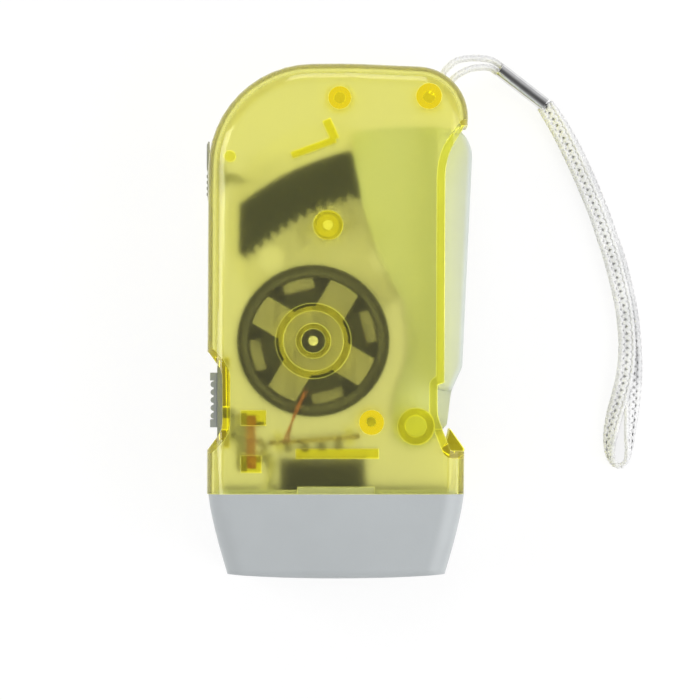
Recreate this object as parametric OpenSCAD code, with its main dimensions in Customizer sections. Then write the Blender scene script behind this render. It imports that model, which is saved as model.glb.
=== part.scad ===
// Hand press dynamo flashlight, lying on its back.
// +X is the lever side, +Y the strap end, +Z the front. The origin is under the middle of the case.

/* [Case] */
// Length of the strap end, beyond the lever
strap_end_l = 12.8; // [12:0.1:14]
// Width of the case at its middle
case_w = 53.5; // [52.5:0.5:56]
// Thickness of the case, back to front
case_t = 33; // [32:0.5:36]
// Wall of the clear shells
wall = 1.6; // [1.2:0.1:1.8]
// Radius of the edges round the front and the back
edge_r = 4.5; // [3.5:0.25:5]
// Radius of the large corner at the strap end
large_corner_r = 21.5; // [18:0.5:23]
// Radius of the small corner at the strap end
small_corner_r = 10.5; // [9:0.5:12]
// Depth of the recess that bares the lever, from the case side
lever_recess = 4.9; // [4.6:0.1:5.2]
// Depth of the recess round the light switch
switch_recess = 2.9; // [2.6:0.1:3.2]
// Radius of the light switch recess where it runs out
recess_blend_r = 5; // [3.5:0.5:6]

/* [Head] */
// Length of the grey head, lens end to seam
head_l = 17.4; // [16.6:0.2:19]
// Width of the head at the seam
head_seam_w = 52.6; // [52:0.2:53.4]
// Width of the head at the lens
head_lens_w = 45.4; // [44:0.2:48]
// Thickness that the head loses from seam to lens
head_thinning = 2; // [1:0.25:3]
// Width of the lens opening
lens_w = 36; // [34:0.5:37]
// Height of the lens opening
lens_h = 22; // [20:0.5:23]
// Thickness of the lens
lens_t = 1.6; // [1.2:0.1:2]
// Distance between the lamps
lamp_pitch = 12; // [11.6:0.1:12.4]
// Diameter of a lamp
lamp_d = 5; // [4.6:0.1:5.2]

/* [Lever] */
// Distance of the pivot from the middle of the case, sideways
pivot_x = 15.9; // [15.6:0.1:16.1]
// Height of the pivot above the seam
pivot_rise = 13.9; // [13.6:0.1:14.4]
// Radius of the pivot stubs on the lever
stub_r = 2.12; // [1.9:0.02:2.3]
// Radius of the lever hub
hub_r = 4.6; // [4.4:0.1:4.8]
// Angle that the lever opens by
lever_swing = 18; // [12:1:19]
// Thickness of the lever across the grip
grip_t = 19.4; // [18:0.2:19.6]
// Thickness of the lever arm behind the grip
arm_t = 10; // [9.6:0.1:10.2]
// Wall of the lever moulding
lever_wall = 1.6; // [1.3:0.1:1.9]
// Gap between the end of the lever and the end of its recess
lever_end_gap = 0.1; // [0.1:0.05:0.3]

/* [Gears] */
// Module of the sector and of the small gear that it drives
sector_module = 0.7; // [0.68:0.005:0.705]
// Teeth in a full ring of the sector
sector_ring_teeth = 140; // [138:1:141]
// Teeth of the small gear that the sector drives
ratchet_pinion_teeth = 11; // [11:1:12]
// Depth of the sector, teeth to back
sector_depth = 10; // [9:0.1:10.4]
// Module of the drive gear and of the flywheel pinion
train_module = 0.5; // [0.49:0.005:0.505]
// Teeth of the drive gear
drive_gear_teeth = 84; // [82:1:85]
// Teeth of the flywheel pinion
flywheel_pinion_teeth = 12; // [12:1:13]
// Radius of the steel axles
axle_r = 1; // [0.9:0.02:1.1]
// Running clearance of every axle
running_gap = 0.05; // [0.02:0.01:0.08]

/* [Dynamo] */
// Radius of the flywheel
flywheel_r = 15.7; // [15.2:0.1:15.9]
// Depth of the flywheel rim
flywheel_depth = 14.5; // [13.6:0.1:14.8]
// Thickness of the rim
rim_t = 0.9; // [0.8:0.05:1]
// Thickness of the ring magnet
magnet_t = 1.3; // [1.1:0.05:1.4]
// Gap between the magnet and the claws
air_gap = 0.5; // [0.4:0.05:0.6]
// Width of a claw
claw_w = 6.4; // [5.8:0.1:6.8]
// Sheet thickness of the claw plates
claw_t = 0.8; // [0.7:0.05:0.9]
// Radius of the bobbin's flanges
bobbin_r = 10.2; // [9.6:0.1:10.4]

/* [Electrics] */
// Diameter of a button cell
cell_d = 11.6; // [11.2:0.1:11.8]
// Thickness of a button cell
cell_t = 5.4; // [5.2:0.05:5.5]
// Length of the circuit board
board_l = 18.6; // [17:0.2:18.8]
// Height of the circuit board
board_h = 17; // [14:0.5:17]
// Thickness of the circuit board
board_t = 1.1; // [1:0.05:1.2]
// Length of the slide switch
switch_l = 12; // [11.5:0.1:12.3]
// Travel of the light switch
switch_travel = 2.2; // [1.8:0.1:2.3]
// Travel of the lever lock
lock_travel = 2.7; // [2.3:0.1:2.8]

/* [Strap] */
// Width of the wrist strap
strap_w = 3.8; // [3.4:0.1:4.2]
// Thickness of the wrist strap
strap_t = 1.3; // [1.1:0.1:1.5]
// Diameter of the two strands at the case
strand_d = 1.5; // [1.3:0.1:1.6]
// Radius of the ferrule
ferrule_r = 1.5; // [1.4:0.05:1.6]

/* [Hidden] */
$fn = 64;

// Colours
shell_yellow = [0.86, 0.86, 0.36, 0.55];
head_grey = [0.71, 0.73, 0.74];
lever_grey = [0.75, 0.79, 0.75];
gear_black = [0.12, 0.13, 0.12];
gear_white = [0.9, 0.9, 0.86];
steel = [0.72, 0.72, 0.72];
knob_grey = [0.58, 0.61, 0.61];

// Shared small sizes
overrun = 0.6;
seat_gap = 0.1;
moving_gap = 0.3;
arc_step = 7.5;
edge_steps = 5;
least_fillet = 0.05;

// The lever reaches just past the sector that it carries, and the case just past the lever
sector_addendum_share = 0.6;
sector_pitch_r = sector_module * sector_ring_teeth / 2;
sector_room = 1.72;
lever_reach = sector_pitch_r - sector_addendum_share * sector_module + sector_depth + lever_wall + sector_room;
torch_l = head_l + pivot_rise + lever_reach + strap_end_l;

// Planes and half sizes of the case
half_l = torch_l / 2;
half_w = case_w / 2;
mid_z = case_t / 2;
front_in = case_t - wall;
seam_y = head_l - half_l;

// Unit vectors, corners and turns of an outline whose corners are [x, y, fillet radius]
function flat(p) = [p[0], p[1]];
function unit(v) = v / norm(v);
function left_of(v) = [-v[1], v[0]];
function polar(r, a) = [r * cos(a), r * sin(a)];
function turned(v, a) = [v[0] * cos(a) - v[1] * sin(a), v[0] * sin(a) + v[1] * cos(a)];
function corner(o, i) = o[(i + len(o)) % len(o)];
function way_in(o, i) = unit(flat(corner(o, i)) - flat(corner(o, i - 1)));
function way_out(o, i) = unit(flat(corner(o, i + 1)) - flat(corner(o, i)));
function turn_at(o, i) = atan2(cross(way_in(o, i), way_out(o, i)), way_in(o, i) * way_out(o, i));

// The outline moved inwards by d, with the same number of corners
function inset(o, d) = [for (i = [0:len(o) - 1])
    let (a = way_in(o, i), b = way_out(o, i), n = (left_of(a) + left_of(b)) * d / (1 + a * b),
        side = sign(turn_at(o, i)))
    [o[i][0] + n[0], o[i][1] + n[1], o[i][2] > 0 ? max(o[i][2] - side * d, least_fillet) : 0]];

// The outline's points, with its fillets as arcs
function rounded(o) = [for (i = [0:len(o) - 1])
    let (a = way_in(o, i), t = turn_at(o, i), r = o[i][2], begin = flat(o[i]) - a * r * tan(abs(t) / 2),
        centre = begin + sign(t) * r * left_of(a), steps = r > 0 ? ceil(abs(t) / arc_step - least_fillet) : 0)
    each steps == 0 ? [flat(o[i])] : [for (k = [0:steps]) centre + turned(begin - centre, t * k / steps)]];

function arc(centre, r, from, to, steps) =
    [for (k = [0:steps]) centre + polar(r, from + (to - from) * k / steps)];

function slab_outline(low, high, r) =
    [[high[0], low[1], r], [high[0], high[1], r], [low[0], high[1], r], [low[0], low[1], r]];

// A skin through rings of points, each ring counter-clockwise as seen from where the rings lead
module loft(rings) {
    n = len(rings[0]);
    last = (len(rings) - 1) * n;
    polyhedron(
        points = [for (ring = rings) each ring],
        faces = concat(
            [[for (k = [0:n - 1]) k]],
            [for (j = [0:len(rings) - 2]) for (k = [0:n - 1])
                [j * n + k, (j + 1) * n + k, (j + 1) * n + (k + 1) % n, j * n + (k + 1) % n]],
            [[for (k = [n - 1:-1:0]) last + k]]),
        convexity = 8);
}

// An outline from z0 to z1 with its edges rounded by r at the top, and at the bottom if both is true
module rounded_slab(o, z0, z1, r, both = true) {
    low = both ? [for (k = [edge_steps:-1:1]) let (a = 90 * k / edge_steps)
        [for (p = rounded(inset(o, r * (1 - cos(a))))) [p[0], p[1], z0 + r * (1 - sin(a))]]]
        : [[for (p = rounded(o)) [p[0], p[1], z0]]];
    high = [for (k = [0:edge_steps]) let (a = 90 * k / edge_steps)
        [for (p = rounded(inset(o, r * (1 - cos(a))))) [p[0], p[1], z1 - r * (1 - sin(a))]]];
    loft(concat(low, both ? [[for (p = rounded(o)) [p[0], p[1], z0 + r]]] : [], high));
}

// A tube along a route. Each size is [half width, half height] of its section
function section_ring(route, i, size, sides) =
    let (n = len(route), way = unit(route[min(i + 1, n - 1)] - route[max(i - 1, 0)]),
        side = unit(cross(way, [0, 0, 1])), up = cross(side, way))
    [for (k = [0:sides - 1]) let (a = 360 * k / sides)
        route[i] - side * size[0] * cos(a) + up * size[1] * sin(a)];

module tube(route, sizes, sides) {
    loft([for (i = [0:len(route) - 1]) section_ring(route, i, sizes[i], sides)]);
}

module round_wire(route, r, sides = 6) {
    tube(route, [for (p = route) [r, r]], sides);
}

module post(place, r, z0, z1) {
    translate([place[0], place[1], z0]) cylinder(r = r, h = z1 - z0);
}

module block(low, high) {
    translate(low) cube(high - low);
}

// Places of the axles, worked out from the pivot and the gears
pivot = [pivot_x, seam_y + pivot_rise];
sector_centres = sector_pitch_r - sector_module * ratchet_pinion_teeth / 2;
sector_mesh_angle = 113.55;
gear_place = pivot + polar(sector_centres, sector_mesh_angle);
train_centres = train_module * (drive_gear_teeth + flywheel_pinion_teeth) / 2;
train_angle = -97.25;
wheel_place = gear_place + polar(train_centres, train_angle);

// Levels of the lever, and of the gear train behind and before it
gear_rim_t = 2.5;
gear_web_t = 1.2;
ratchet_ring_t = 1.8;
gear_arm_gap = 0.5;
wheel_gear_gap = 1.5;
slot_gap = 0.5;
arm_z0 = mid_z - arm_t / 2;
arm_z1 = mid_z + arm_t / 2;
grip_z0 = mid_z - grip_t / 2;
grip_z1 = mid_z + grip_t / 2;
slot_z1 = grip_z1 + slot_gap;
gear_back_z = arm_z0 - gear_arm_gap - ratchet_ring_t - gear_web_t;
wheel_back_z = gear_back_z + gear_rim_t + wheel_gear_gap;
wheel_web_t = 2;
wheel_front_z = wheel_back_z + flywheel_depth;
rear_plate_gap = 1.4;
plate_pitch = 11.8;
rear_plate_z = wheel_back_z + wheel_web_t + rear_plate_gap;
front_plate_z = rear_plate_z + plate_pitch;

// Case outline: the corners of a plain pebble, before its recesses
crown = 1.05;
seam_flare_left = 0.45;
seam_taper_right = 1.1;
below_seam = 10;
crown_r = 80;
case_outline = [
    [half_w - seam_taper_right, seam_y - below_seam, 0],
    [half_w, half_l - crown, small_corner_r],
    [large_corner_r / 10, half_l, crown_r],
    [-half_w, half_l - crown / 4, large_corner_r],
    [-half_w - seam_flare_left, seam_y - below_seam, 0]];

// Lever recess: the rim runs down from a step, turns in beside the pivot and sweeps out again
rim_fillet = 0.3;
step_in = 0.8;
step_run = 6.7;
step_r = 14;
rim_lean = 0.2;
rim_low_rise = 9;
throat_step = 1.6;
throat_drop = 0.4;
throat_rise = 2.2;
throat_r = 8;
scoop_drop = 5;
scoop_lip = 0.4;
scoop_in = 1.1;
out_x = half_w + below_seam;
recess_top = half_l - strap_end_l;
rim_x = half_w - lever_recess;
rim_low = pivot[1] + rim_low_rise;
throat_x = rim_x - throat_step;
scoop_end = pivot[1] - scoop_drop;
rim_outline = [
    [out_x, scoop_end - scoop_lip, 0],
    [out_x, recess_top, 0],
    [half_w - step_in, recess_top, rim_fillet],
    [rim_x, recess_top - step_run, step_r],
    [rim_x - rim_lean, rim_low, rim_fillet],
    [throat_x, rim_low - throat_drop, throat_drop],
    [throat_x, pivot[1] + throat_rise, throat_r],
    [rim_x + scoop_in, scoop_end, 2 * rim_fillet]];
slot_depth = 2.2;
flare_drop = 0.6;
flare_in = 1.2;
flare_end_in = 0.6;
flare_r = 1.5;
flare_top = pivot[1] - flare_drop;
slot_in_x = throat_x - slot_depth;
slot_outline = [
    [out_x, scoop_end - scoop_lip, 0],
    [out_x, recess_top, 0],
    [slot_in_x, recess_top, 0],
    [slot_in_x, flare_top, 0],
    [rim_x + flare_in, flare_top, 0],
    [half_w - flare_end_in, scoop_end, flare_r]];

// Switch recess on the other side, with the guide plate that lines it
switch_recess_rise = 8.8;
switch_recess_l = 20.4;
switch_corner_r = 0.8;
lower_blend = 4.4;
upper_blend = 4;
guide_t = 1.28;
guide_lower_inset = 2.2;
guide_upper_inset = 2.8;
guide_half_w = 7;
guide_corner_r = 2;
switch_bottom = seam_y + switch_recess_rise;
switch_top = switch_bottom + switch_recess_l;
recess_x = -half_w + switch_recess;
switch_outline = [
    [-out_x, switch_bottom, 0],
    [-half_w - seam_flare_left, switch_bottom, switch_corner_r],
    [recess_x, switch_bottom + lower_blend, recess_blend_r],
    [recess_x, switch_top - upper_blend, recess_blend_r * 0.9],
    [-half_w, switch_top, switch_corner_r],
    [-out_x, switch_top, 0]];
guide_low = [recess_x - guide_t, switch_bottom + guide_lower_inset, mid_z - guide_half_w];
guide_high = [recess_x - seat_gap, switch_top - guide_upper_inset, mid_z + guide_half_w];

hub_room = 2.3;

module case_half(d) {
    rounded_slab(inset(case_outline, d), mid_z - (d > 0 ? overrun : 0), case_t - d, edge_r - d, both = false);
}

// Everything cut from the outside of a half. With grow, the same cuts fattened by the wall
module recess_cuts(grow) {
    translate([0, 0, slot_z1 - grow]) linear_extrude(case_t)
        polygon(rounded(inset(rim_outline, -grow)));
    linear_extrude(slot_z1 + (grow > 0 ? 0 : overrun))
        polygon(rounded(inset(grow > 0 ? rim_outline : slot_outline, grow > 0 ? -grow : 0)));
    linear_extrude(case_t + overrun)
        polygon(rounded(inset(switch_outline, -grow)));
    block([-out_x, guide_low[1] - seat_gap - grow, 0],
        [guide_high[0] + seat_gap + grow, guide_high[1] + seat_gap + grow, guide_high[2] + seat_gap + grow]);
}

module case_skin() {
    difference() {
        case_half(0);
        difference() {
            case_half(wall);
            recess_cuts(wall);
        }
        recess_cuts(0);
        post(pivot, hub_r + hub_room, 0, slot_z1);
        block([-out_x, seam_y - 3 * below_seam, 0], [out_x, seam_y, case_t + overrun]);
    }
}

module back_skin() {
    translate([0, 0, case_t]) mirror([0, 0, 1]) case_skin();
}

// Posts that join the shells: two with pegs at the strap end, and one with the screw beside the pivot
peg_places = [[-15.68, 5.6], [2.6, 5.87]];
peg_post_radii = [2.32, 2.58];
peg_r = 1.2;
peg_l = 6;
screw_place = [-9.13, 0.82];
screw_post_r = 2.54;
peg_posts = [for (k = [0, 1]) [pivot[0] + peg_places[k][0], recess_top + peg_places[k][1], peg_post_radii[k]]];
screw_post = [pivot[0] + screw_place[0], pivot[1] + screw_place[1], screw_post_r];
back_post_r = 2.95;
screw_r = 1;
screw_hole_r = 1.3;
screw_head_r = 2;
screw_head_hole_r = 2.2;
screw_head_z = 6;
screw_head_t = 1.6;
screw_reach = 3.5;
screw_tip_z = mid_z + screw_reach;

// Bosses and rings that carry the lever and the axles
stub_boss_r = 3.78;
stub_gap = 0.08;
stub_hole_r = stub_r + stub_gap;
stub_depth = 6.5;
back_stub_depth = 4.5;
gear_boss_r = 3.06;
gear_boss_reach = 0.4;
gear_seat_gap = 0.6;
wheel_pinion_l = 5.4;
wheel_seat_gap = 0.4;
axle_skin = 0.9;
gear_axle_skin = 1.7;
hub_ring_r = 7.75;
hub_ring_in_r = 6.2;
tube_ring_r = 3.6;
tube_ring_in_r = 2.5;
socket_gap = 0.04;

// Wall openings for the lock, the switch and the strap
lock_setback = 24.4;
stem_inset = 4.6;
strap_hole_gap = 0.2;
strap_drop = 7.5;
corner_shift = [0.05, 0.2];
lock_y = half_l - lock_setback;
lock_stem_l = 2;
lock_stem_t = 5;
switch_stem_y = guide_low[1] + stem_inset;
switch_stem_l = 2;
switch_stem_t = 3;
corner_centre = [half_w - small_corner_r - corner_shift[0], half_l - crown - small_corner_r + corner_shift[1]];
strap_hole_angles = [62, 49];
strap_hole_r = strand_d / 2 + strap_hole_gap;
strap_z = mid_z - strap_drop;

module wall_openings() {
    block([-out_x, lock_y - lock_travel - moving_gap, mid_z - lock_stem_t / 2 - moving_gap],
        [-half_w + wall + overrun, lock_y + lock_stem_l + moving_gap, mid_z + lock_stem_t / 2 + moving_gap]);
    block([-out_x, switch_stem_y - switch_travel - moving_gap, mid_z - switch_stem_t / 2 - moving_gap],
        [recess_x + wall + overrun, switch_stem_y + switch_stem_l + moving_gap,
            mid_z + switch_stem_t / 2 + moving_gap]);
}

module strap_holes() {
    for (a = strap_hole_angles)
        translate([corner_centre[0], corner_centre[1], strap_z]) rotate([0, 90, a])
            translate([0, 0, small_corner_r - 3 * wall]) cylinder(r = strap_hole_r, h = 5 * wall);
}

// Ribs: their centre line, their width and the level that they reach down to
module rib(from, to, width, z0, z1) {
    way = unit(to - from);
    side = left_of(way) * width / 2;
    translate([0, 0, z0]) linear_extrude(z1 - z0) polygon([from + side, from - side, to - side, to + side]);
}

guide_rib_rise = 16.1;
guide_rib_r = sector_centres + guide_rib_rise;
guide_rib_angles = [114.6, 105.7];
guide_rib_w = 1.4;
guide_rib_reach = 1.2;
guide_foot_l = 4.4;
guide_foot_w = 1.8;
guide_rib_z = arm_z1 - guide_rib_reach;
guide_rib_ends = [for (a = guide_rib_angles) pivot + polar(guide_rib_r, a)];
guide_foot_end = pivot + polar(guide_rib_r + guide_foot_l, guide_rib_angles[1] + 0.6);

// The light switch stands inside its recess, between brackets
switch_rise = 4.6;
frame_gap = 1.25;
frame_t = 2.3;
base_t = 1.9;
switch_y0 = seam_y + switch_rise;
frame_x0 = recess_x + wall + frame_gap;
frame_x1 = frame_x0 + frame_t;
base_x1 = frame_x1 + base_t;
bracket_gap = 2.2;
bracket_x = recess_x + wall + bracket_gap;
bracket_l = 4.2;
upper_bracket_l = 5.2;
bracket_lift = 5.4;
bracket_hold = 2.5;
bracket_over = 0.6;
lower_hold = 3.3;
lower_over = 0.2;

// The cell pack lies across the seam, on the head's spigot, and the circuit board stands beyond it
spigot_t = 1.2;
pack_skin = 0.4;
pack_in = 19;
pack_rise = 0.9;
pack_gap = 0.5;
cell_pack_r = cell_d / 2 + pack_skin;
cell_axis = [pivot[0] - pack_in, seam_y + pack_rise, wall + seat_gap + spigot_t + pack_gap + cell_pack_r];
bar_half_w = 1;
bar_clear = 0.2;
bar_lift = 4;
bar_ends = [-5.7, 11.3];
bar_y = cell_axis[1] + cell_pack_r + bar_clear + bar_half_w;
cradle_places = [-5.4, 3.6];
cradle_t = 1.4;
cradle_drop = 1;
board_gap = 2.7;
board_drop = 3.5;
board_tilt = 4.2;
board_slot_shares = [0.08, 0.86];
board_slot_wall = 1.2;
board_slot_drop = 7;
board_left = [base_x1 + board_gap, pivot[1] - board_drop];
lock_pin_r = 1.16;
lock_pin_l = 5;
lock_pin_back = 1.6;
lock_pin_rise = 5.2;
snap_rise = 0.5;

module front_shell() {
    color(shell_yellow) difference() {
        union() {
            case_skin();
            for (p = peg_posts) {
                post(p, p[2], mid_z, front_in + overrun);
                post(p, peg_r, mid_z - peg_l, mid_z + overrun);
            }
            post(screw_post, screw_post_r, mid_z, front_in + overrun);
            post(pivot, stub_boss_r, arm_z1 + moving_gap, front_in + overrun);
            post(gear_place, gear_boss_r, arm_z1 - gear_boss_reach, front_in + overrun);
            post(wheel_place, tube_ring_r, front_plate_z + claw_t + seat_gap, front_in + overrun);
            difference() {
                post(wheel_place, hub_ring_r, front_plate_z + claw_t + seat_gap, front_in + overrun);
                post(wheel_place, hub_ring_in_r, 0, front_in);
            }
            post([lock_slider_in - lock_pin_back, lock_y + lock_pin_rise], lock_pin_r, front_in - lock_pin_l,
                front_in + overrun);
            rib(guide_rib_ends[0], guide_rib_ends[1], guide_rib_w, guide_rib_z, front_in + overrun);
            rib(guide_rib_ends[1], guide_foot_end, guide_foot_w, guide_rib_z, front_in + overrun);
            block([cell_axis[0] + bar_ends[0], bar_y - bar_half_w, mid_z + bar_lift],
                [cell_axis[0] + bar_ends[1], bar_y + bar_half_w, front_in + overrun]);
            block([bracket_x, switch_y0 + switch_l - bracket_hold, mid_z + bracket_lift],
                [bracket_x + upper_bracket_l, switch_y0 + switch_l + bracket_over, front_in + overrun]);
            block([bracket_x, switch_y0 - lower_over, mid_z + bracket_lift],
                [bracket_x + bracket_l, switch_y0 + lower_hold, front_in + overrun]);
        }
        post(screw_post, screw_r + socket_gap, 0, screw_tip_z + overrun);
        post(pivot, stub_hole_r, 0, arm_z1 + stub_depth + overrun);
        post(gear_place, axle_r + socket_gap, 0, front_in - gear_axle_skin + seat_gap);
        post(wheel_place, tube_ring_in_r, 0, front_in);
        block([head_x - snap_w / 2 - seat_gap, seam_y - overrun, mid_z],
            [head_x + snap_w / 2 + seat_gap, seam_y + spigot_l + snap_l + seat_gap, front_in + snap_rise]);
        wall_openings();
    }
}

module back_shell() {
    color(shell_yellow) difference() {
        union() {
            back_skin();
            for (p = concat(peg_posts, [screw_post])) post(p, back_post_r, wall - overrun, mid_z);
            post(pivot, stub_boss_r, wall - overrun, arm_z0 - moving_gap);
            post(gear_place, gear_boss_r, wall - overrun, gear_back_z - gear_seat_gap);
            post(wheel_place, tube_ring_in_r, wall - overrun, wheel_back_z - wheel_pinion_l - wheel_seat_gap);
            for (x = cradle_places)
                block([cell_axis[0] + x, seam_y + spigot_l + moving_gap, wall - overrun],
                    [cell_axis[0] + x + cradle_t, bar_y, cell_axis[2] - cradle_drop]);
            for (s = board_slot_shares)
                translate([board_left[0], board_left[1], wall - overrun]) rotate([0, 0, board_tilt])
                    translate([s * board_l, -board_t / 2 - board_slot_wall, 0])
                        cube([cradle_t, board_t + 2 * board_slot_wall, mid_z - board_slot_drop]);
            block([bracket_x, switch_y0 + switch_l - bracket_hold, wall - overrun],
                [bracket_x + bracket_l, switch_y0 + switch_l - lower_over, mid_z - bracket_lift]);
            block([bracket_x, switch_y0 + bracket_over, wall - overrun],
                [bracket_x + bracket_l, switch_y0 + lower_hold, mid_z - bracket_lift]);
        }
        for (p = peg_posts) post(p, peg_r + seat_gap, mid_z - peg_l - overrun, mid_z + overrun);
        post(screw_post, screw_hole_r, -overrun, mid_z + overrun);
        post(screw_post, screw_head_hole_r, -overrun, screw_head_z);
        post(pivot, stub_hole_r, arm_z0 - back_stub_depth - overrun, mid_z);
        for (p = [gear_place, wheel_place]) post(p, axle_r + socket_gap, wall + axle_skin - seat_gap, mid_z);
        translate(cell_axis - [board_l, 0, 0]) rotate([0, 90, 0])
            cylinder(r = cell_pack_r + seat_gap, h = 2 * board_l);
        circuit_board_place() block([-overrun, -board_t / 2 - seat_gap, board_z - seat_gap],
            [board_l + overrun, board_t / 2 + seat_gap, case_t]);
        wall_openings();
        strap_holes();
    }
}

// Head bezel: rounded rectangles across the torch that shrink and bulge towards the lens
head_x = -0.55;
head_corner_r = edge_r;
head_edge_r = 1.9;
head_wall = 1.7;
head_steps = 6;
bulge_power = 1.3;
end_bow = 0.9;
lip_t = 1.1;

function head_half(t) = (head_seam_w - (head_seam_w - head_lens_w) * pow(t, bulge_power)) / 2;
function head_thin(t) = head_thinning * pow(t, bulge_power);
function head_ring(y, t, d) = [for (p = rounded(inset(slab_outline([head_x - head_half(t), 0],
    [head_x + head_half(t), case_t - head_thin(t)], head_corner_r), d))) [p[0], y, p[1]]];

module head_solid(d, from_y, to_y, edge) {
    loft(concat(
        from_y > seam_y ? [head_ring(from_y, 0, d)] : [],
        [for (k = [0:head_steps]) let (t = k / head_steps)
            head_ring(seam_y - t * (seam_y - edge - to_y), t, d)],
        edge > 0 ? [for (a = [30, 60, 90]) head_ring(to_y + edge * (1 - sin(a)), 1, d + edge * (1 - cos(a)))]
            : []));
}

// A plate across the torch, from y0 to y1
module cross_plate(centre, w, h, r, y0, y1) {
    translate([0, y1, 0]) rotate([90, 0, 0]) linear_extrude(y1 - y0)
        polygon(rounded(slab_outline([centre[0] - w / 2, centre[1] - h / 2],
            [centre[0] + w / 2, centre[1] + h / 2], r)));
}

lens_centre = [head_x, (case_t - head_thinning) / 2];
lens_r = 8;
lens_rim = 1.2;
lens_front_y = -half_l + end_bow + lip_t;
bow_r = (head_lens_w * head_lens_w / 4 + end_bow * end_bow) / (2 * end_bow);
bow_angle = 6;
bow_steps = 16;
spigot_l = 0.9;
spigot_root = 1.4;
snap_w = 15.6;
snap_l = 0.5;

module head_bezel() {
    seat_w = head_seam_w - 2 * wall - 4 * seat_gap;
    seat_h = case_t - 2 * wall - 2 * seat_gap;
    color(head_grey) union() {
        difference() {
            intersection() {
                head_solid(0, seam_y, -half_l, head_edge_r);
                translate([0, 0, -overrun]) linear_extrude(case_t + 2 * overrun)
                    polygon(concat([[out_x, seam_y + overrun], [-out_x, seam_y + overrun]],
                        arc([head_x, bow_r - half_l], bow_r, -90 - bow_angle, -90 + bow_angle, bow_steps)));
            }
            head_solid(head_wall, seam_y + overrun, lens_front_y, 0);
            cross_plate(lens_centre, lens_w, lens_h, lens_r - lens_rim, -half_l - overrun, seam_y);
        }
        difference() {
            union() {
                cross_plate([head_x, mid_z], seat_w, seat_h, edge_r - wall, seam_y - spigot_root,
                    seam_y + spigot_l);
                block([head_x - snap_w / 2, seam_y - spigot_root, mid_z], [head_x + snap_w / 2,
                    seam_y + spigot_l + snap_l, front_in + snap_rise - seat_gap]);
            }
            cross_plate([head_x, mid_z], seat_w - 2 * spigot_t, seat_h - 2 * spigot_t, edge_r - wall,
                seam_y - spigot_root - overrun, half_l);
        }
    }
}

module lens() {
    color([0.92, 0.95, 0.97, 0.5])
        cross_plate(lens_centre, lens_w + 2 * lens_rim, lens_h + 2 * lens_rim, lens_r, lens_front_y,
            lens_front_y + lens_t);
}

// Reflector: a block with a paraboloid cup for each lamp
cup_mouth_r = 5.5;
cup_depth = 6;
cup_steps = 8;
cup_floor = 0.8;
lamp_flange_w = 0.4;
reflector_front_y = lens_front_y + lens_t;
reflector_back_y = reflector_front_y + cup_depth + cup_floor;
lamp_flange_r = lamp_d / 2 + lamp_flange_w;
lamp_places = [for (k = [-1:1]) [lens_centre[0] + k * lamp_pitch, lens_centre[1]]];

module along_torch(place, y) {
    translate([place[0], y, place[1]]) rotate([-90, 0, 0]) children();
}

module reflector() {
    color([0.85, 0.86, 0.88]) difference() {
        cross_plate(lens_centre, lens_w, lens_h, lens_r - lens_rim, reflector_front_y, reflector_back_y);
        for (p = lamp_places) {
            along_torch(p, reflector_front_y) rotate_extrude()
                polygon(concat([[0, -overrun], [cup_mouth_r, -overrun]],
                    [for (k = [0:cup_steps]) let (s = k / cup_steps)
                        [lamp_flange_r + seat_gap + (cup_mouth_r - lamp_flange_r - seat_gap) * sqrt(1 - s),
                            cup_depth * s]], [[0, cup_depth]]));
            along_torch(p, reflector_front_y) cylinder(r = lamp_flange_r + seat_gap, h = 2 * cup_depth);
        }
    }
}

lamp_board_t = 1.2;
lamp_board_trim = [1, 6];
lamp_board_r = 2;
lamp_board_y = reflector_back_y;
lamp_l = 6.4;
lamp_flange_t = 1;
lead_r = 0.25;
lead_end = 0.3;
lead_pitch = 2.54;

module lamp_board() {
    color([0.2, 0.42, 0.26]) difference() {
        cross_plate(lens_centre, lens_w - lamp_board_trim[0], lens_h - lamp_board_trim[1], lamp_board_r,
            lamp_board_y, lamp_board_y + lamp_board_t);
        for (p = lamp_places) for (s = [-1, 1])
            along_torch([p[0] + s * lead_pitch / 2, p[1]], lamp_board_y - overrun)
                cylinder(r = lead_r + running_gap, h = 4 * lamp_board_t, $fn = 16);
    }
}

module led(place) {
    color([0.93, 0.95, 0.96]) along_torch(place, lamp_board_y - lamp_l) {
        rotate_extrude() polygon(concat(
            [[0, lamp_l], [lamp_flange_r, lamp_l], [lamp_flange_r, lamp_l - lamp_flange_t],
                [lamp_d / 2, lamp_l - lamp_flange_t]],
            [for (k = [0:6]) let (a = 90 * k / 6) [lamp_d / 2 * cos(a), lamp_d / 2 * (1 - sin(a))]]));
        for (s = [-1, 1]) translate([s * lead_pitch / 2, 0, lamp_l - overrun])
            cylinder(r = lead_r, h = overrun + lamp_board_t + lead_end, $fn = 16);
    }
}

// Cell pack
sleeve_t = 0.35;
sleeve_lip_w = 1.4;
sleeve_slack = 0.02;
pack_l = 3 * cell_t;

module battery_sleeve() {
    lip_r = cell_d / 2 - sleeve_lip_w;
    bore_r = cell_d / 2 + running_gap;
    color(gear_black) translate(cell_axis - [pack_l / 2 + sleeve_t, 0, 0]) rotate([0, 90, 0]) rotate_extrude()
        polygon([[lip_r, 0], [cell_pack_r, 0], [cell_pack_r, pack_l + 2 * sleeve_t],
            [lip_r, pack_l + 2 * sleeve_t], [lip_r, pack_l + sleeve_t + sleeve_slack],
            [bore_r, pack_l + sleeve_t + sleeve_slack], [bore_r, sleeve_t - sleeve_slack],
            [lip_r, sleeve_t - sleeve_slack]]);
}

cell_chamfer = 0.4;
cell_cap_in = 1;
cell_cap_r = cell_d / 2 - cell_cap_in;
cell_cap_t = 0.5;

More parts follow.
